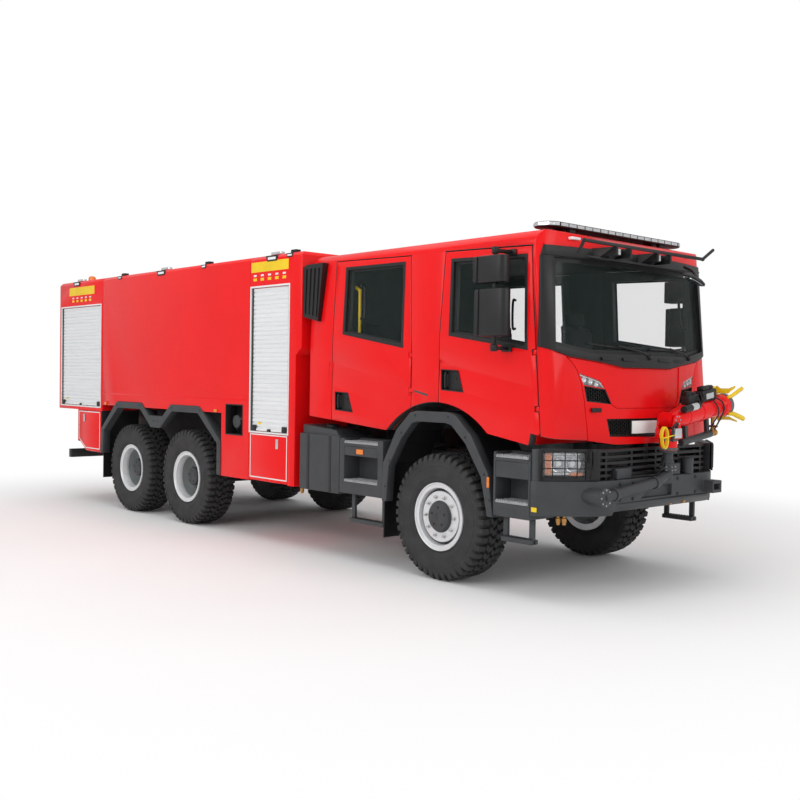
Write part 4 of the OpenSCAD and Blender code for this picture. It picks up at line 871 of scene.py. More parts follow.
def makeRoofFittings():
    module = bmesh.new()
    addBox(module, (-0.006, -0.048, -0.013), (0.006, 0.048, 0.013))
    spots, turns = [], []
    for k in range(16):
        y = -0.81 + 0.108 * k
        for side in (-1, 1):
            spots.append(spot(0.92 + side * 0.119, y, 3.084))
            turns.append((0, 0, 0))
    for end in (-1, 1):
        for a in (-60, -20, 20, 60):
            r = math.radians(a)
            spots.append(spot(0.92 + 0.119 * math.sin(r), end * (0.865 + 0.119 * math.cos(r)), 3.084))
            turns.append((0, 0, math.pi / 2 * end - r * end))
    placeCopies("barModules", module, spots, lampSilver, "truck", turns)
    bm = bmesh.new()
    for side in (-1, 1):
        addBox(bm, spot(1.115, side * 0.832 - 0.055, 2.944), spot(1.190, side * 0.832 + 0.055, 2.966))
    makePiece("roofMarkers", bm, lampWhite, bevel=0.006, segments=3)
    bm = bmesh.new()
    for y in (-0.545, 0.035):
        addBox(bm, spot(1.300, y - 0.070, 2.828), spot(1.372, y + 0.070, 2.892))
    makePiece("workLamps", bm, blackPlastic, bevel=0.006)
    bm = bmesh.new()
    for y in (-0.545, 0.035):
        addBox(bm, spot(1.370, y - 0.062, 2.836), spot(1.376, y + 0.062, 2.884))
    makePiece("workLampLenses", bm, lampWhite, bevel=0.002)
    bm = bmesh.new()  # front view mirror on its arm
    addTube(bm, smoothPath([spot(1.255, 0.66, 2.842), spot(1.36, 0.62, 2.80), spot(1.45, 0.54, 2.745),
                            spot(1.49, 0.47, 2.72)], 6), 0.016, 12)
    addLathe(bm, [(0.0, -0.030), (0.07, -0.028), (0.105, -0.012), (0.110, 0.004), (0.100, 0.010), (0.0, 0.010)],
             spot(1.50, 0.42, 2.69), (-0.35, -0.30, -0.89), 32)
    makePiece("frontMirror", bm, blackPlastic, angle=40)
    bm = bmesh.new()
    addLathe(bm, [(0.0, 0.0), (0.094, 0.0), (0.094, 0.004), (0.0, 0.004)], spot(1.4965, 0.417, 2.681),
             (-0.35, -0.30, -0.89), 32)
    makePiece("frontMirrorGlass", bm, mirrorGlass, angle=40)


makeRoofFittings()


def makeMirrorGlass(side):
    body = "front_door_" + ("left" if side > 0 else "right")
    label = "Left" if side > 0 else "Right"
    bm = bmesh.new()
    for z0, z1, x in ((2.150, 2.515, 0.640), (2.585, 2.785, 0.620)):
        addFlankBox(bm, side, (x - 0.018, x + 0.030), (1.323, 1.447), (z0 - 0.006, z1 + 0.006))
    makePiece("mirrorFrame" + label, bm, blackPlastic, body, bevel=0.010, segments=3)
    bm = bmesh.new()
    for z0, z1, x in ((2.162, 2.503, 0.640), (2.597, 2.773, 0.620)):
        addFlankBox(bm, side, (x - 0.021, x - 0.016), (1.335, 1.435), (z0, z1))
    makePiece("mirrorFace" + label, bm, mirrorGlass, body, bevel=0.001)
    bm = bmesh.new()  # foot and knuckles of the arms
    for z in (2.030, 2.822):
        addFlankBox(bm, side, (0.745, 0.855), (flankY(z) + 0.001, flankY(z) + 0.020), (z - 0.012, z + 0.042))
        addLathe(bm, [(0.0, -0.012), (0.030, -0.012), (0.030, 0.040), (0.022, 0.046), (0.0, 0.046)],
                 spot(0.80, side * 1.385, z), (0, 0, 1), 20)
    makePiece("mirrorFeet" + label, bm, blackPlastic, body, bevel=0.006)


for side in (-1, 1):
    makeMirrorGlass(side)
print("cab fittings made")


# monitor and bumper fittings
monitorSet = {"x": 1.552, "y": 0.0, "z": 1.47, "rise": math.radians(8), "tube": 0.085, "collar": 0.102, "length": 0.9,
              "fork": 0.214, "foam": -0.225}
safetyYellow = makeFinish("safetyYellow", (0.90, 0.62, 0.01), (0.82, 0.54, 0.008), rough=0.38, grain=250,
                          bump=0.04, patch=6)
brass = makeFinish("brass", (0.55, 0.30, 0.10), (0.42, 0.21, 0.06), rough=0.35, metal=0.85, grain=200,
                   bump=0.06, patch=18)
hose = makeFinish("hose", (0.016, 0.016, 0.017), (0.010, 0.010, 0.011), rough=0.6, grain=300, bump=0.1, patch=15)


def onBarrel(x, along, up):
    s = monitorSet
    c, r = math.cos(s["rise"]), math.sin(s["rise"])
    return spot(s["x"] + x, s["y"] + along * c - up * r, s["z"] + along * r + up * c)


def addBarrelBox(bm, xs, alongs, ups):
    corners = ((xs[0], alongs[0]), (xs[1], alongs[0]), (xs[1], alongs[1]), (xs[0], alongs[1]))
    joinRings(bm, [[bm.verts.new(onBarrel(x, a, u)) for x, a in corners] for u in ups])


def makeMonitorTube(s):
    body = "monitor_tube"
    axis = onBarrel(0, 1, 0) - onBarrel(0, 0, 0)
    up = onBarrel(0, 0, 1) - onBarrel(0, 0, 0)
    t, k = s["tube"], s["collar"]
    bm = bmesh.new()
    addLathe(bm, [(0.0, -0.058), (0.030, -0.054), (0.045, -0.040), (0.053, -0.024), (0.058, 0.02), (0.060, 0.05),
                  (t - 0.012, 0.11), (t, 0.17), (t, 0.215), (t + 0.006, 0.220), (t + 0.006, 0.240), (t, 0.245),
                  (t, 0.430), (t + 0.006, 0.435), (t + 0.006, 0.455), (t, 0.460), (t, 0.740), (t + 0.004, 0.765),
                  (k, 0.782), (k, 0.842), (t, 0.850), (t - 0.010, 0.812), (0.0, 0.812)],
             onBarrel(0, 0, 0), axis, 48)
    addRod(bm, onBarrel(-0.060, 0, 0), onBarrel(0.060, 0, 0), 0.065, 32)
    addRod(bm, onBarrel(-0.088, 0, 0), onBarrel(0.088, 0, 0), 0.020, 24)
    makePiece("monitorTube", bm, redPaint, body, angle=30, replaced=("monitor_barrel",))
    bm = bmesh.new()  # end ring with its lip
    addLathe(bm, [(t - 0.002, 0.842), (k + 0.002, 0.842), (k + 0.002, 0.868), (k - 0.002, 0.872), (k - 0.002, 0.896),
                  (k - 0.006, s["length"]), (t, s["length"]), (t - 0.004, 0.896)],
             onBarrel(0, 0, 0), axis, 48)
    makePiece("monitorMouth", bm, castMetal, body, angle=30)
    bm = bmesh.new()  # deflector forks with a web at the root
    for r in angles(4, 0.5):
        outline = [(0.830, 0.096), (0.900, 0.096), (0.945, 0.128), (0.988, 0.176), (0.992, 0.190), (0.975, 0.208),
                   (0.962, s["fork"]), (0.925, 0.180), (0.876, 0.128), (0.830, 0.118)]
        c, q = math.cos(r), math.sin(r)
        joinRings(bm, [[bm.verts.new(onBarrel(q * h + c * w, along, c * h - q * w)) for along, h in outline]
                       for w in (-0.013, 0.013)])
    makePiece("deflectorForks", bm, safetyYellow, body, bevel=0.004)
    bm = bmesh.new()  # upper and lower yellow plates joining the fork pairs
    for sign in (-1, 1):
        outline = [(-0.062, 0.868), (0.062, 0.868), (0.100, 0.930), (0.092, 0.945), (0.040, 0.915), (-0.040, 0.915),
                   (-0.092, 0.945), (-0.100, 0.930)]
        joinRings(bm, [[bm.verts.new(onBarrel(x, a, sign * (u + 0.75 * (a - 0.868)))) for x, a in outline]
                       for u in (0.103, 0.111)])
    makePiece("deflectorPlates", bm, safetyYellow, body, bevel=0.003)
    bm = bmesh.new()  # drive motors
    addBarrelBox(bm, (-0.045, 0.045), (0.262, 0.418), (0.080, 0.165))
    addBarrelBox(bm, (-0.050, 0.050), (0.472, 0.698), (0.080, 0.178))
    addBarrelBox(bm, (-0.030, 0.040), (0.500, 0.600), (0.176, 0.214))
    makePiece("monitorMotors", bm, blackPlastic, body, bevel=0.010, segments=3)
    bm = bmesh.new()
    for along, x, r, low, high in ((0.310, 0.0, 0.034, 0.160, 0.200), (0.376, 0.008, 0.026, 0.160, 0.186),
                                   (0.655, 0.0, 0.034, 0.172, 0.208)):
        addLathe(bm, [(0.0, low), (r, low), (r, high - 0.006), (r - 0.006, high), (0.0, high)],
                 onBarrel(x, along, 0), up, 28)
    addRod(bm, onBarrel(0.088, 0.10, 0.075), onBarrel(0.088, 0.33, 0.075), 0.030, 24)
    addRod(bm, onBarrel(0.088, 0.085, 0.075), onBarrel(0.088, 0.10, 0.075), 0.024, 24)
    makePiece("motorCaps", bm, blackPlastic, body, angle=40)
    bm = bmesh.new()
    addRod(bm, onBarrel(0.088, 0.21, 0.075), onBarrel(0.088, 0.30, 0.075), 0.0312, 24)
    addBarrelBox(bm, (0.052, 0.054), (0.520, 0.640), (0.100, 0.150))
    makePiece("motorSleeve", bm, aluminium, body, angle=40)
    bm = bmesh.new()  # foam tube and its hangers
    addLathe(bm, [(0.0, 0.160), (0.026, 0.160), (0.032, 0.166), (0.032, 0.245), (0.034, 0.248), (0.034, 0.262),
                  (0.032, 0.265), (0.032, 0.628), (0.028, 0.640), (0.0, 0.640)],
             onBarrel(0, 0, s["foam"]), axis, 28)
    for a in (0.220, 0.560):
        addBarrelBox(bm, (-0.015, 0.015), (a, a + 0.04), (s["foam"], -0.06))
    makePiece("foamTube", bm, charcoal, body, angle=40)
    bm = bmesh.new()
    addLathe(bm, [(0.0, 0.636), (0.030, 0.636), (0.030, 0.656), (0.022, 0.662), (0.022, 0.690), (0.030, 0.694),
                  (0.030, 0.712), (0.0, 0.712)], onBarrel(0, 0, s["foam"]), axis, 24)
    addRod(bm, onBarrel(0, 0.674, s["foam"]), onBarrel(0, 0.690, -0.080), 0.016, 16)
    addRod(bm, onBarrel(-0.05, 0.676, -0.165), onBarrel(0.05, 0.676, -0.165), 0.010, 12)
    makePiece("foamValve", bm, brass, body, angle=40)
    bm = bmesh.new()  # cables from the motors along the tube
    for x, lift in ((-0.020, 0.0), (0.012, 0.012), (0.040, 0.004)):
        addTube(bm, smoothPath([onBarrel(x, 0.470, 0.130 + lift), onBarrel(x + 0.03, 0.440, 0.150 + lift),
                                onBarrel(x + 0.055, 0.425, 0.120), onBarrel(0.070 + x * 0.2, 0.380, 0.075),
                                onBarrel(0.075, 0.345, 0.062)], 5), 0.0065, 8)
    addTube(bm, smoothPath([onBarrel(0.05, 0.66, 0.10), onBarrel(0.092, 0.70, 0.06), onBarrel(0.096, 0.73, -0.01),
                            onBarrel(0.080, 0.70, -0.08), onBarrel(0.03, 0.66, -0.19)], 6), 0.007, 8)
    addTube(bm, smoothPath([onBarrel(0.05, 0.60, 0.10), onBarrel(0.096, 0.62, 0.03), onBarrel(0.090, 0.64, -0.05),
                            onBarrel(0.050, 0.62, -0.12), onBarrel(0.02, 0.60, -0.195)], 6), 0.006, 8)
    makePiece("monitorCables", bm, hose, body, angle=60)


def makeMonitorHead(s):
    body = "monitor_head"
    bm = bmesh.new()
    for low, high in ((1.214, 1.232), (1.292, 1.308)):
        addLathe(bm, [(0.076, low), (0.080, low), (0.080, high), (0.076, high + 0.004)],
                 spot(s["x"], s["y"], 0), (0, 0, 1), 40)
    makePiece("headRings", bm, castMetal, body, angle=40)
    cap = bmesh.new()
    addLathe(cap, [(0.0, 0.0), (0.009, 0.0), (0.009, 0.006), (0.0, 0.008)], (0, 0, 0), (1, 0, 0), 6)
    spots = [spot(s["x"] + 0.0875, s["y"] + 0.034 * math.cos(a), s["z"] + 0.034 * math.sin(a)) for a in angles(6)]
    placeCopies("headBolts", cap, spots, zincBolt, body)
    bm = bmesh.new()
    addBox(bm, spot(s["x"] + 0.088, s["y"] - 0.068, 1.318), spot(s["x"] + 0.112, s["y"] + 0.030, 1.402))
    makePiece("headBox", bm, aluminium, body, bevel=0.004)
    bm = bmesh.new()  # yellow spiral cable in four loops at the side
    path = []
    for k in range(4 * 20 + 1):
        a = 2 * math.pi * k / 20
        path.append(spot(s["x"] + 0.030 + 0.020 * a / math.pi / 2, s["y"] - 0.128 - 0.003 * a - 0.042 * math.cos(a),
                         1.325 + 0.088 * math.sin(a)))
    addTube(bm, [spot(s["x"] + 0.05, s["y"] - 0.060, 1.318)] + path + [spot(s["x"] + 0.100, s["y"] - 0.066, 1.345)],
            0.0052, 8)
    makePiece("spiralCable", bm, safetyYellow, body, angle=60)
    bm = bmesh.new()
    for dx, dy in ((0.02, 0.0), (0.04, -0.012), (0.0, 0.012)):
        addTube(bm, smoothPath([spot(s["x"] + 0.09, s["y"] - 0.02 + dy, 1.40),
                                spot(s["x"] + 0.115 + dx * 0.3, s["y"] - 0.05 + dy, 1.445),
                                spot(s["x"] + 0.105 + dx * 0.2, s["y"] - 0.095 + dy, 1.420),
                                spot(s["x"] + 0.095, s["y"] - 0.088 + dy, 1.340),
                                spot(s["x"] + 0.075, s["y"] - 0.050, 1.290)], 6), 0.0065, 8)
    makePiece("headCables", bm, hose, body, angle=60)


def makePipeFittings(s):
    bolt = bmesh.new()
    addLathe(bolt, [(0.0, -0.004), (0.009, -0.004), (0.009, 0.004), (0.006, 0.006), (0.0, 0.006)],
             (0, 0, 0), (0, 0, 1), 6)
    circle, joint = 0.062, (1.560, -0.890, 0.865)  # bolt circle, and the middle of the swing joint's flange
    spots = [spot(s["x"] + circle * math.cos(a), s["y"] + circle * math.sin(a), z) for z in (1.0715, 1.047)
             for a in angles(8, 0.5)]
    placeCopies("riserBolts", bolt, spots, zincBolt)
    bm = bmesh.new()  # flange of the swing joint and clamps on the pipe
    addLathe(bm, [(0.045, 0.0), (0.078, 0.0), (0.078, 0.014), (0.070, 0.018), (0.0, 0.018), (0.0, 0.0)],
             spot(*joint), (1, 0, 0), 40)
    rise = Vector((0, 0.730, 0.084)).normalized()
    start = spot(s["x"], joint[1], joint[2])
    for along in (0.13, 0.69):
        addLathe(bm, [(0.0405, along), (0.052, along), (0.052, along + 0.028), (0.0405, along + 0.028)],
                 start, rise, 32)
    addLathe(bm, [(0.0425, 1.105), (0.050, 1.105), (0.050, 1.125), (0.0425, 1.125)],
             spot(s["x"], s["y"], 0), (0, 0, 1), 32)
    makePiece("pipeFlanges", bm, charcoal, angle=40)
    cap = bmesh.new()
    addLathe(cap, [(0.0, 0.0), (0.008, 0.0), (0.008, 0.005), (0.0, 0.007)], (0, 0, 0), (1, 0, 0), 6)
    spots = [spot(1.576, joint[1] + circle * math.cos(a), joint[2] + circle * math.sin(a)) for a in angles(8)]
    placeCopies("flangeBolts", cap, spots, zincBolt)
    bm = bmesh.new()  # supply hoses along the bumper top
    runs = (((1.552, -0.052, 1.135), (1.530, -0.056, 1.06), (1.500, -0.078, 1.003), (1.460, -0.13, 0.996),
             (1.455, -0.26, 0.996), (1.460, -0.41, 0.996)),
            ((1.530, -0.048, 1.160), (1.507, -0.044, 1.06), (1.482, -0.062, 0.999), (1.438, -0.15, 0.993),
             (1.432, -0.30, 0.993), (1.455, -0.41, 0.993)),
            ((1.560, 0.052, 1.150), (1.535, 0.054, 1.06), (1.500, 0.080, 1.002), (1.465, 0.13, 0.995)))
    for run, radius in zip(runs, (0.011, 0.008, 0.010)):
        addTube(bm, smoothPath([spot(*p) for p in run], 7), radius, 10)
    makePiece("supplyHoses", bm, hose, angle=60)
    bm = bmesh.new()  # valve block, rest cup and bracket plates on the bumper top
    addBox(bm, spot(1.415, 0.12, 0.986), spot(1.485, 0.30, 1.085))
    addLathe(bm, [(0.0, 0.0), (0.052, 0.0), (0.052, 0.115), (0.056, 0.120), (0.056, 0.135), (0.046, 0.138),
                  (0.0, 0.128)], spot(1.47, 0.43, 0.9855), (0, 0, 1), 36)
    addBox(bm, spot(1.450, -0.62, 0.9855), spot(1.470, -0.40, 1.075))
    addBox(bm, spot(1.405, -0.62, 0.9855), spot(1.485, -0.59, 1.060))
    makePiece("valveBlock", bm, charcoal, bevel=0.008, segments=3)
    bm = bmesh.new()
    for x, y, z in ((1.225, -1.05, 0.700), (1.262, -1.02, 0.700), (1.40, 0.28, 0.790), (1.42, 0.46, 0.790),
                    (-2.13, -1.12, 0.640), (-2.18, -1.08, 0.640)):
        addLathe(bm, [(0.0, 0.004), (0.012, 0.004), (0.012, -0.018), (0.021, -0.022), (0.021, -0.052), (0.016, -0.058),
                      (0.016, -0.072), (0.010, -0.076), (0.0, -0.076)],
                 spot(x, y, z), (0, 0, 1), 20)
    makePiece("brassCouplings", bm, brass, angle=40)
    bm = bmesh.new()
    addBox(bm, spot(1.115, -1.2562, 0.735), spot(1.172, -1.2545, 0.772))
    makePiece("bumperTag", bm, safetyYellow, bevel=0.0008)
    bm = bmesh.new()  # bolts of the bumper face
    for y in (-0.60, -0.42, 0.24, 0.52):
        for z in (0.955, 0.820):
            addLathe(bm, [(0.0, 0.0), (0.016, 0.0), (0.016, 0.006), (0.010, 0.010), (0.0, 0.010)],
                     spot(1.500, y, z), (1, 0, 0), 20)
    makePiece("bumperBolts", bm, frameBlack, angle=40)


makeMonitorTube(monitorSet)
makeMonitorHead(monitorSet)
makePipeFittings(monitorSet)
print("monitor fittings made")


# body sides
shutterSet = {"front": {"x": (-2.905, -2.205), "z": (1.185, 2.740)},
              "rear": {"x": (-7.795, -6.545), "z": (1.330, 2.715)}}
flapSet = {"front": {"x": (-2.900, -2.205), "z": (0.652, 1.165), "cut": (0.0, 0.0)},
           "rear": {"x": (-7.205, -6.545), "z": (0.712, 1.262), "cut": (0.215, 0.130)}}
trimWhite = makeFinish("trimWhite", (0.80, 0.81, 0.81), (0.72, 0.73, 0.73), rough=0.4, grain=200, bump=0.02, patch=5)
treadGrey = makeFinish("treadGrey", (0.36, 0.37, 0.38), (0.25, 0.26, 0.27), rough=0.45, metal=0.5, grain=120,
                       bump=0.2, patch=30)
wallY = 1.265
shutterEdge = [(-0.016, 0.0), (-0.016, -0.004), (0.002, -0.004), (0.002, 0.012), (0.0005, 0.012), (0.0005, 0.0)]


def bodyPlace(side):
    def place(p, d):
        return spot(p[0], side * (wallY - d), p[1])
    return place


def addSideBox(bm, side, xs, zs, depths):  # block on the body side; depths from the outer face inwards
    addFlankBox(bm, side, xs, (wallY - depths[0], wallY - depths[1]), zs)


def rectangle(xs, zs):
    return [(xs[0], zs[0]), (xs[1], zs[0]), (xs[1], zs[1]), (xs[0], zs[1])]


def makeSide(side):
    label = "Left" if side > 0 else "Right"
    place = bodyPlace(side)
    frames, guides, latches, tags = bmesh.new(), bmesh.new(), bmesh.new(), bmesh.new()
    for s in shutterSet.values():
        (x0, x1), (z0, z1) = s["x"], s["z"]
        addSurround(frames, rectangle((x0, x1), (z0, z1)), shutterEdge, place, 1)
        for x in (x0 + 0.002, x1 - 0.024):
            addSideBox(guides, side, (x, x + 0.022), (z0 + 0.002, z1 - 0.002), (0.010, 0.0165))
        for x in (x0 + 0.028, x1 - 0.110):
            addSideBox(latches, side, (x, x + 0.082), (z0 + 0.006, z0 + 0.070), (-0.003, 0.0165))
        middle = (x0 + x1) / 2
        addSideBox(latches, side, (middle - 0.030, middle + 0.030), (z0 + 0.004, z0 + 0.034), (0.000, 0.0165))
        addSideBox(frames, side, (x0 + 0.115, middle - 0.04), (z0 + 0.010, z0 + 0.030), (0.004, 0.0165))
        addSideBox(frames, side, (middle + 0.04, x1 - 0.115), (z0 + 0.010, z0 + 0.030), (0.004, 0.0165))
        addSideBox(tags, side, (x0 + 0.13, x0 + 0.19), (z0 + 0.078, z0 + 0.100), (0.0163, 0.0178))
    makePiece("shutterFrames" + label, frames, trimWhite, bevel=0.001)
    makePiece("shutterGuides" + label, guides, frameBlack, bevel=0.002)
    makePiece("shutterLatches" + label, latches, blackPlastic, bevel=0.010, segments=3)
    strips = bmesh.new()
    addSideBox(strips, side, (-2.909, -2.221), (2.905, 3.013), (-0.0012, 0.001))
    addSideBox(strips, side, (-7.545, -6.753), (2.876, 2.990), (-0.0012, 0.001))
    makePiece("yellowStrips" + label, strips, safetyYellow)
    makePiece("shutterTags" + label, tags, safetyYellow)
    for name, w, h, finish, rows in (("smallMarks", 0.026, 0.010, trimWhite, ((-2.835, 2.868), (-7.42, 2.840))),
                                     ("amberMarks", 0.032, 0.015, safetyYellow, ((-2.835, 2.826), (-7.42, 2.798)))):
        mark = bmesh.new()
        addBox(mark, (-w, -0.001, -h), (w, 0.001, h))
        spots = [spot(x + 0.135 * k, side * (wallY + 0.0004), z) for x, z in rows for k in range(5)]
        placeCopies(name + label, mark, spots, finish)
    moulding = bmesh.new()
    addSideBox(moulding, side, (-6.478, -2.936), (1.508, 1.526), (-0.002, 0.002))
    makePiece("waistMoulding" + label, moulding, redPaint, bevel=0.0012)
    pan = bmesh.new()  # filler recess lining with its coupling
    x0, x1, z0, z1 = -3.390, -3.055, 1.130, 1.457
    addSurround(pan, rectangle((x0, x1), (z0, z1)), [(-0.010, 0.0), (-0.010, -0.003), (0.003, -0.003), (0.004, 0.146),
                                                     (0.0006, 0.1494), (0.0006, 0.0)], place, 1)
    addSideBox(pan, side, (x0 + 0.002, x1 - 0.002), (z0 + 0.002, z1 - 0.002), (0.144, 0.1494))
    makePiece("fillerPan" + label, pan, blackPlastic, bevel=0.002)
    cap = bmesh.new()
    middle = spot((x0 + x1) / 2 - 0.03, side * (wallY - 0.145), 1.27)
    addLathe(cap, [(0.0, 0.0), (0.060, 0.0), (0.060, 0.050), (0.075, 0.055), (0.075, 0.090), (0.066, 0.098),
                   (0.0, 0.098)], middle, (0, side, 0), 36)
    for a in angles(3):
        c, q = math.cos(a + 0.4), math.sin(a + 0.4)
        addRod(cap, middle + Vector((0.070 * c, side * 0.060, 0.070 * q)),
               middle + Vector((0.090 * c, side * 0.085, 0.090 * q)), 0.010, 12)
    makePiece("fillerCap" + label, cap, hubGrey, angle=40)
    hook = bmesh.new()
    addTube(hook, smoothPath([spot(x1 - 0.09, side * (wallY - 0.146), 1.39),
                              spot(x1 - 0.09, side * (wallY - 0.105), 1.385),
                              spot(x1 - 0.085, side * (wallY - 0.090), 1.345),
                              spot(x1 - 0.045, side * (wallY - 0.095), 1.330),
                              spot(x1 - 0.035, side * (wallY - 0.120), 1.360)], 6), 0.006, 10)
    makePiece("fillerHook" + label, hook, aluminium, angle=60)
    for name, f in flapSet.items():  # edging and handle of the drop flaps
        body = name + "_flap_" + ("left" if side > 0 else "right")
        (x0, x1), (z0, z1), (cx, cz) = f["x"], f["z"], f["cut"]
        low = z0 + 0.03
        outline = [(x0, z1), (x0, low + cz)] + ([(x0 + cx, low)] if cx else []) + [(x1, low), (x1, z1)]
        bm = bmesh.new()
        addSurround(bm, outline, [(0.004, 0.0005), (0.004, -0.0012), (0.016, -0.0012), (0.016, 0.0005)], place, 1)
        makePiece(name + "FlapEdging" + label, bm, trimWhite, body)
        bm = bmesh.new()
        addSideBox(bm, side, (x0 + 0.16, x0 + 0.20) if name == "rear" else (x1 - 0.20, x1 - 0.16),
                   (z1 - 0.150, z1 - 0.045), (-0.010, 0.001))
        makePiece(name + "FlapHandle" + label, bm, aluminium, body, bevel=0.004, segments=3)


for side in (-1, 1):
    makeSide(side)


stepSet = {"runs": ((0.722, 1.080), (-1.275, -0.775)), "floors": (0.772, 1.146), "thick": 0.022,
           "hanging": (((-1.225, -0.725), 0.380), ((0.760, 1.090), 0.455))}


def makeTreads(s):
    treads = [(side, x0, x1, z) for side in (-1, 1) for x0, x1 in s["runs"] for z in s["floors"]]
    tooth = bmesh.new()
    addLathe(tooth, [(0.0, 0.0), (0.0085, 0.0), (0.0055, 0.006), (0.0040, 0.006), (0.0, 0.003)],
             (0, 0, 0), (0, 0, 1), 8)
    spots = []
    for side, x0, x1, z in treads:
        for i in range(int((x1 - x0 - 0.03) / 0.030) + 1):
            spots += [spot(x0 + 0.018 + 0.030 * i + 0.015 * (j % 2), side * (1.075 + 0.030 * j), z + s["thick"])
                      for j in range(6)]
    placeCopies("treadTeeth", tooth, spots, treadGrey)
    bm = bmesh.new()
    for side, x0, x1, z in treads:
        addFlankBox(bm, side, (x0 + 0.0015, x1 - 0.0015), (1.052, 1.2545), (z + 0.001, z + s["thick"]))
    makePiece("treadPlates", bm, treadGrey, bevel=0.004, replaced=("step_treads",))
    notch = bmesh.new()
    addPrism(notch, [(-0.010, 0.0), (0.010, 0.0), (0.006, 0.010), (-0.006, 0.010)], "y", -0.004, 0.004)
    spots = []
    for side, x0, x1, z in treads:
        spots += [spot(x0 + 0.020 + 0.026 * k, side * 1.2495, z + s["thick"] - 0.001)
                  for k in range(int((x1 - x0 - 0.03) / 0.026) + 1)]
    placeCopies("treadNose", notch, spots, treadGrey)
    bm = bmesh.new()  # panels across the upper part of each step opening
    for side in (-1, 1):
        for (x0, x1), low in zip(s["runs"], (0.985, 1.030)):
            addFlankBox(bm, side, (x0 + 0.0005, x1 - 0.0005), (1.228, 1.2525), (low, 1.1195))
    makePiece("stepPanels", bm, charcoal, bevel=0.005, segments=3)
    bm = bmesh.new()  # hanging steps
    tooth = bmesh.new()
    addLathe(tooth, [(0.0, 0.0), (0.0085, 0.0), (0.0055, 0.005), (0.0, 0.005)], (0, 0, 0), (0, 0, 1), 8)
    spots = []
    for side in (-1, 1):
        for (x0, x1), drop in s["hanging"]:
            for x in (x0, x1 - 0.05):
                addFlankBox(bm, side, (x, x + 0.05), (1.160, 1.190), (drop, 0.6597))
            addFlankBox(bm, side, (x0, x1), (1.130, 1.220), (drop, drop + 0.04))
            for k in range(int((x1 - x0 - 0.05) / 0.03) + 1):
                spots += [spot(x0 + 0.03 + 0.03 * k, side * y, drop + 0.0395) for y in (1.150, 1.175, 1.200)]
    makePiece("hangingSteps", bm, charcoal, bevel=0.006, segments=3)
    placeCopies("hangingTeeth", tooth, spots, frameBlack)


makeTreads(stepSet)


def makeFlareBolts():
    cap = bmesh.new()
    addLathe(cap, [(0.0, -0.003), (0.011, -0.003), (0.011, 0.002), (0.007, 0.004), (0.0, 0.004)],
             (0, 0, 0), (0, 1, 0), 12)
    front = [(-0.655, 0.78), (-0.60, 1.02), (-0.44, 1.29), (-0.26, 1.455), (0.16, 1.455), (0.37, 1.29),
             (0.60, 0.99), (0.665, 0.78)]
    rear = [(-6.47, 0.80), (-6.44, 1.02), (-6.05, 1.37), (-5.40, 1.38), (-5.05, 1.20), (-4.95, 1.20), (-4.60, 1.38),
            (-3.95, 1.37), (-3.53, 1.02), (-3.53, 0.80)]
    spots = []
    for y, flare in ((1.2622, front), (1.2752, rear)):
        spots += [spot(x, side * y, z) for side in (-1, 1) for x, z in flare]
    placeCopies("flareBolts", cap, spots, frameBlack)
    bm = bmesh.new()  # tank straps and caps
    for side in (-1, 1):
        for x in (-1.86, -1.50):
            addFlankBox(bm, side, (x - 0.020, x + 0.020), (1.2545, 1.259), (0.645, 1.205))
        addLathe(bm, [(0.0, 0.0), (0.062, 0.0), (0.062, 0.022), (0.054, 0.030), (0.0, 0.030)],
                 spot(-1.68, side * 1.08, 1.277), (0.07, 0, 1), 32)
    makePiece("tankStraps", bm, frameBlack, bevel=0.002)


makeFlareBolts()


def makeRear():
    edging, latches = bmesh.new(), bmesh.new()

    def place(p, d):
        return spot(-7.860 + d, p[0], p[1])
    addSurround(edging, rectangle((-0.9, 0.9), (1.45, 2.74)), shutterEdge, place, 1)
    makePiece("rearFrame", edging, trimWhite, bevel=0.001)
    for y in (-0.86, 0.76):
        addBox(latches, spot(-7.8625, y, 1.458), spot(-7.842, y + 0.10, 1.520))
    addTube(latches, smoothPath([spot(-7.842, -0.5, 1.475), spot(-7.8625, -0.48, 1.475), spot(-7.8625, 0.48, 1.475),
                                 spot(-7.842, 0.5, 1.475)], 4), 0.010, 10)
    makePiece("rearLatches", latches, blackPlastic, bevel=0.004)
    bm = bmesh.new()
    addBox(bm, spot(-7.868, -0.26, 1.300), spot(-7.8605, 0.26, 1.412))
    makePiece("rearPlate", bm, plateWhite, bevel=0.002)
    bm = bmesh.new()
    for x in (-5.5, -3.9):  # clamps and handle of the roof lids
        for a in angles(6):
            cx, cy = x + 0.285 * math.cos(a), 0.285 * math.sin(a)
            addBox(bm, spot(cx - 0.020, cy - 0.020, 3.112), spot(cx + 0.020, cy + 0.020, 3.134))
        addTube(bm, smoothPath([spot(x - 0.09, 0, 3.118), spot(x - 0.08, 0, 3.150), spot(x + 0.08, 0, 3.150),
                                spot(x + 0.09, 0, 3.118)], 5), 0.009, 10)
    makePiece("lidClamps", bm, aluminium, bevel=0.003)
    bm = bmesh.new()
    for y in (-0.62, 0.62):
        for k in range(4):
            x = -6.40 + 0.855 * k
            addBox(bm, spot(x, y - 0.24, 3.0755), spot(x + 0.78, y + 0.24, 3.0795))
    makePiece("roofWalkway", bm, castMetal, bevel=0.001)


makeRear()


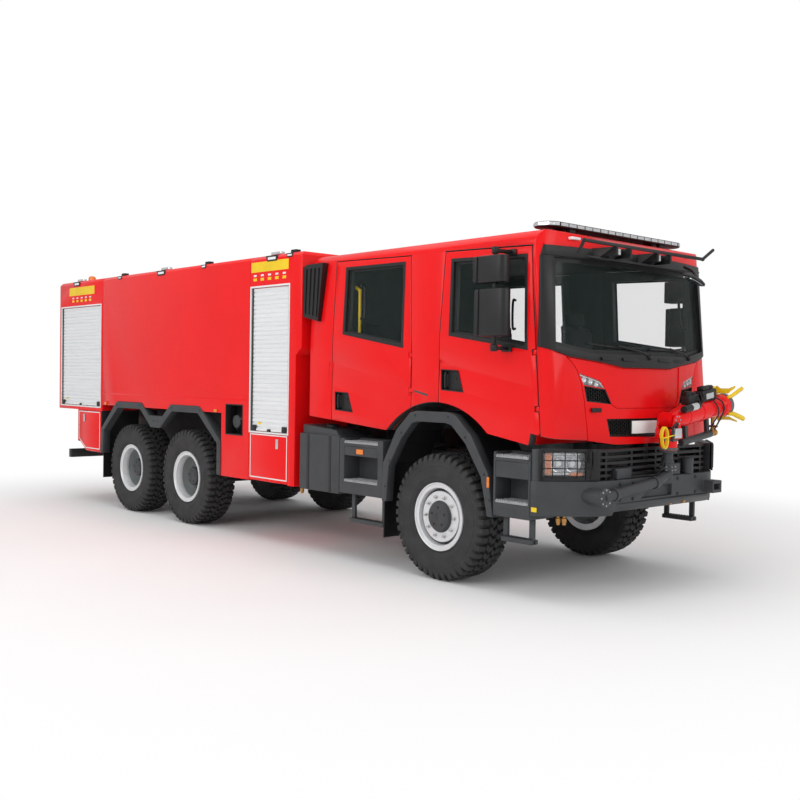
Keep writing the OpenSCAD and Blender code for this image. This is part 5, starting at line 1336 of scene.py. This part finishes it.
def makeLampPlates():  # side faces of the lamps along the top edge
    frames, lenses = bmesh.new(), bmesh.new()
    top = 3.068
    for side in (-1, 1):
        low, high = sorted((side * 1.2645, side * 1.2705))
        for kind, w, h in (("long", 0.115, 0.062), ("short", 0.060, 0.042)):
            for x in bodyLampSet[kind]:
                addFlankBox(lenses, side, (x - w * 0.62, x + w * 0.62), (1.2690, 1.2725),
                            (top - h * 0.72, top - h * 0.28))
                x += axleX
                addPrism(frames, [(x - w, top), (x + w, top), (x + w * 0.76, top - h), (x - w * 0.76, top - h)], "y",
                         low, high)
    makePiece("lampPlates", frames, blackPlastic, bevel=0.002)
    makePiece("lampPlateLenses", lenses, lampWhite, bevel=0.0015)


makeLampPlates()
print("body fittings made")


# cab inside
seatSet = {"voxel": 0.012, "pressure": 4.0, "cap": 0.024, "cuts": 7, "frames": 20,
           "seats": {"frontSeatLeft": {"x": 0.33, "z": 1.688, "ys": [0.6], "width": 0.46},
                     "frontSeatRight": {"x": 0.33, "z": 1.688, "ys": [-0.6], "width": 0.46},
                     "rearBench": {"x": -1.33, "z": 1.560, "ys": [-0.66, 0.0, 0.66], "width": 0.62}}}


def addPad(bm, corner, far, lean, crown):  # rounded pad whose sides pull in between its corners
    low, high = Vector(corner), Vector(far)
    mid, half = (low + high) / 2, (high - low) / 2
    pad = bmesh.new()
    bmesh.ops.create_cube(pad, size=2)
    bmesh.ops.subdivide_edges(pad, edges=pad.edges[:], cuts=seatSet["cuts"], use_grid_fill=True)
    for v in pad.verts:
        p = v.co.copy()
        rounded = (abs(p.x) ** 5 + abs(p.y) ** 5 + abs(p.z) ** 5) ** 0.2
        q = p * (max(abs(p.x), abs(p.y), abs(p.z)) / max(rounded, 1e-6))
        swell = 1 - 0.10 * (p.y * p.y) * (1 - min(1.0, abs(p.x)))
        z = mid.z + q.z * half.z
        rise = crown * (1 - p.x * p.x) * (1 - p.y * p.y) if q.z > 0 else 0.0
        v.co = Vector((mid.x + q.x * half.x * swell + lean * (z - low.z), mid.y + q.y * half.y, z + rise))
    mesh = bpy.data.meshes.new("pad")
    pad.to_mesh(mesh)
    pad.free()
    bm.from_mesh(mesh)
    bpy.data.meshes.remove(mesh)


def puff(obj, s):  # cloth pressure swells the pads a little
    rest = obj.modifiers.new("remesh", "REMESH")
    rest.mode, rest.voxel_size = "VOXEL", s["voxel"]
    settle(obj)
    before = [v.co.copy() for v in obj.data.vertices]
    cloth = obj.modifiers.new("cloth", "CLOTH")
    cloth.settings.use_pressure = True
    cloth.settings.uniform_pressure_force = s["pressure"]
    cloth.settings.quality = 4
    cloth.settings.effector_weights.gravity = 0
    cloth.point_cache.frame_start, cloth.point_cache.frame_end = 1, s["frames"]
    for k in range(1, s["frames"] + 1):
        scene.frame_set(k)
    settle(obj)
    for v, old in zip(obj.data.vertices, before):
        move = v.co - old
        if move.length > s["cap"]:
            v.co = old + move * (s["cap"] / move.length)
    scene.frame_set(1)


def makeSeats(s):
    for name, d in s["seats"].items():
        bm = bmesh.new()
        x, z, w = d["x"], d["z"], d["width"] / 2 - 0.012
        for y in d["ys"]:
            addPad(bm, spot(x - 0.235, y - w, z + 0.012), spot(x + 0.250, y + w, z + 0.172), 0.0, 0.018)
            addPad(bm, spot(x - 0.250, y - w, z + 0.200), spot(x - 0.145, y + w, z + 0.640), -0.16, 0.0)
            addPad(bm, spot(x - 0.320, y - 0.13, z + 0.655), spot(x - 0.235, y + 0.13, z + 0.800), 0.0, 0.0)
        bmesh.ops.recalc_face_normals(bm, faces=bm.faces)
        mesh = bpy.data.meshes.new(name)
        bm.to_mesh(mesh)
        bm.free()
        mesh.materials.append(seatCloth)
        obj = linkMesh(name, mesh)
        puff(obj, s)
        if not obj.data.materials:
            obj.data.materials.append(seatCloth)
        shade(obj.data, 60)
        carry(obj, "truck", ("seats",) if name == "rearBench" else ())
    bm = bmesh.new()  # seat frames under and behind the pads
    for d in s["seats"].values():
        x, z, w = d["x"], d["z"], d["width"] / 2 - 0.03
        for y in d["ys"]:
            addBox(bm, spot(x - 0.24, y - w, z + 0.001), spot(x + 0.22, y + w, z + 0.026))
            for dy in (-0.14, 0.14):
                addTube(bm, [spot(x - 0.235, y + dy, z + 0.020), spot(x - 0.262, y + dy, z + 0.24),
                             spot(x - 0.325, y + dy, z + 0.63), spot(x - 0.290, y + dy * 0.4, z + 0.70)], 0.011, 10)
    makePiece("seatFrames", bm, blackPlastic, bevel=0.003)


makeSeats(seatSet)


screenGlass = makeFinish("screenGlass", (0.020, 0.024, 0.028), (0.012, 0.014, 0.017), rough=0.12, grain=40, bump=0.0,
                         patch=10, coat=0.8)


def makeDash():
    bm = bmesh.new()
    addPrism(bm, [(0.845, 1.86), (0.865, 1.925), (0.90, 2.005), (1.02, 2.010), (1.05, 1.955), (0.90, 1.93)],
             "y", 0.36, 0.84)
    for v in bm.verts:
        v.co.x += axleX
    addBox(bm, spot(0.815, -0.13, 1.60), spot(0.862, 0.25, 1.90))
    addBox(bm, spot(0.55, -0.16, 1.44), spot(0.86, 0.16, 1.57))
    makePiece("dashHood", bm, blackPlastic, bevel=0.014, segments=3)
    bm = bmesh.new()
    for y in (0.48, 0.72):
        addLathe(bm, [(0.0, 0.0), (0.055, 0.0), (0.058, 0.006), (0.0, 0.006)], spot(0.870, y, 1.945),
                 (-0.93, 0, 0.36), 32)
    addBox(bm, spot(0.810, -0.08, 1.76), spot(0.8155, 0.20, 1.88))
    makePiece("dashDials", bm, screenGlass, bevel=0.001)
    bm = bmesh.new()
    for y in (-0.90, -0.40, 0.95):
        for k in range(4):
            addBox(bm, spot(0.842 + 0.014 * k, y - 0.07, 1.83 + 0.024 * k),
                   spot(0.862 + 0.014 * k, y + 0.07, 1.838 + 0.024 * k))
    for y in (-0.05, 0.0, 0.05, 0.10, 0.15):
        addLathe(bm, [(0.0, 0.0), (0.014, 0.0), (0.012, 0.016), (0.0, 0.016)], spot(0.815, y, 1.68), (-1, 0, 0), 16)
    makePiece("dashVents", bm, trimGrey)
    bm = bmesh.new()
    for side in (-1, 1):
        addTube(bm, smoothPath([spot(1.030, side * 1.075, 2.30), spot(0.985, side * 1.045, 2.32),
                                spot(0.955, side * 1.045, 2.56), spot(0.985, side * 1.075, 2.58)], 5), 0.013, 12)
    makePiece("pillarGrips", bm, blackPlastic, angle=60)
    bm = bmesh.new()
    for side in (-1, 1):
        addTube(bm, smoothPath([spot(-1.300, side * 1.060, 1.62), spot(-1.300, side * 1.060, 2.56),
                                spot(-1.310, side * 1.058, 2.64), spot(-1.370, side * 1.055, 2.68)], 5), 0.016, 12)
    makePiece("crewRails", bm, safetyYellow, angle=60)
    bm = bmesh.new()
    column = Vector((-math.sin(math.radians(60)), 0, math.cos(math.radians(60))))
    center = spot(0.86, 0.6, 1.84) + column * 0.128
    addLathe(bm, [(0.0, -0.03), (0.075, -0.03), (0.085, -0.006), (0.075, 0.018), (0.0, 0.024)], center, column, 32)
    makePiece("wheelBoss", bm, blackPlastic, angle=40)


makeDash()
print("cab inside made")


# stage
def makeStage():
    floor = makeFinish("paleFloor", (0.93, 0.93, 0.93), (0.91, 0.91, 0.91), rough=0.7, bump=0, patch=0.3)
    bm = bmesh.new()
    bmesh.ops.create_grid(bm, x_segments=1, y_segments=1, size=60)
    mesh = bpy.data.meshes.new("floor")
    bm.to_mesh(mesh)
    bm.free()
    mesh.materials.append(floor)
    linkMesh("floor", mesh)
    t = floor.node_tree  # the far floor runs out into white for the camera
    shader, out = t.nodes["Principled BSDF"], t.nodes["Material Output"]
    place, path = t.nodes.new("ShaderNodeTexCoord"), t.nodes.new("ShaderNodeLightPath")
    reach = nodeAdd(t, "ShaderNodeVectorMath", operation="LENGTH")
    far = nodeAdd(t, "ShaderNodeMapRange", interpolation_type="SMOOTHSTEP")
    far.inputs["From Min"].default_value = 4.0
    far.inputs["From Max"].default_value = 8.5
    seen = nodeAdd(t, "ShaderNodeMath", operation="MULTIPLY")
    white = t.nodes.new("ShaderNodeEmission")
    mix = t.nodes.new("ShaderNodeMixShader")
    t.links.new(place.outputs["Object"], reach.inputs[0])
    t.links.new(reach.outputs["Value"], far.inputs["Value"])
    t.links.new(far.outputs["Result"], seen.inputs[0])
    t.links.new(path.outputs["Is Camera Ray"], seen.inputs[1])
    t.links.new(seen.outputs[0], mix.inputs[0])
    t.links.new(shader.outputs[0], mix.inputs[1])
    t.links.new(white.outputs[0], mix.inputs[2])
    t.links.new(mix.outputs[0], out.inputs["Surface"])
    world = bpy.data.worlds.new("studio")
    scene.world = world
    world.use_nodes = True
    w = world.node_tree
    back = w.nodes["Background"]
    path = w.nodes.new("ShaderNodeLightPath")
    seen = nodeAdd(w, "ShaderNodeMath", operation="MAXIMUM")
    w.links.new(path.outputs["Is Camera Ray"], seen.inputs[0])
    w.links.new(path.outputs["Is Transmission Ray"], seen.inputs[1])
    level = nodeAdd(w, "ShaderNodeMapRange")
    level.inputs["To Min"].default_value = 0.62
    level.inputs["To Max"].default_value = 1.0
    w.links.new(seen.outputs[0], level.inputs["Value"])
    w.links.new(level.outputs["Result"], back.inputs["Strength"])
    back.inputs["Color"].default_value = (1, 1, 1, 1)


def makeLamp(name, place, aim, size, power):
    light = bpy.data.lights.new(name, "AREA")
    light.shape = "RECTANGLE"
    light.size, light.size_y = size
    light.energy = power
    obj = bpy.data.objects.new(name, light)
    scene.collection.objects.link(obj)
    obj.location = place
    obj.rotation_mode = "QUATERNION"
    obj.rotation_quaternion = (Vector(aim) - Vector(place)).to_track_quat("-Z", "Y")


makeStage()
makeLamp("overhead", (0, -2, 11), (0, 0, 1), (14, 8), 420)
makeLamp("side", (2, -13, 7), (0, 0, 1.5), (12, 5), 520)
makeLamp("front", (14, 1, 6), (3, 0, 1.5), (6, 5), 260)
print("stage and lamps made")
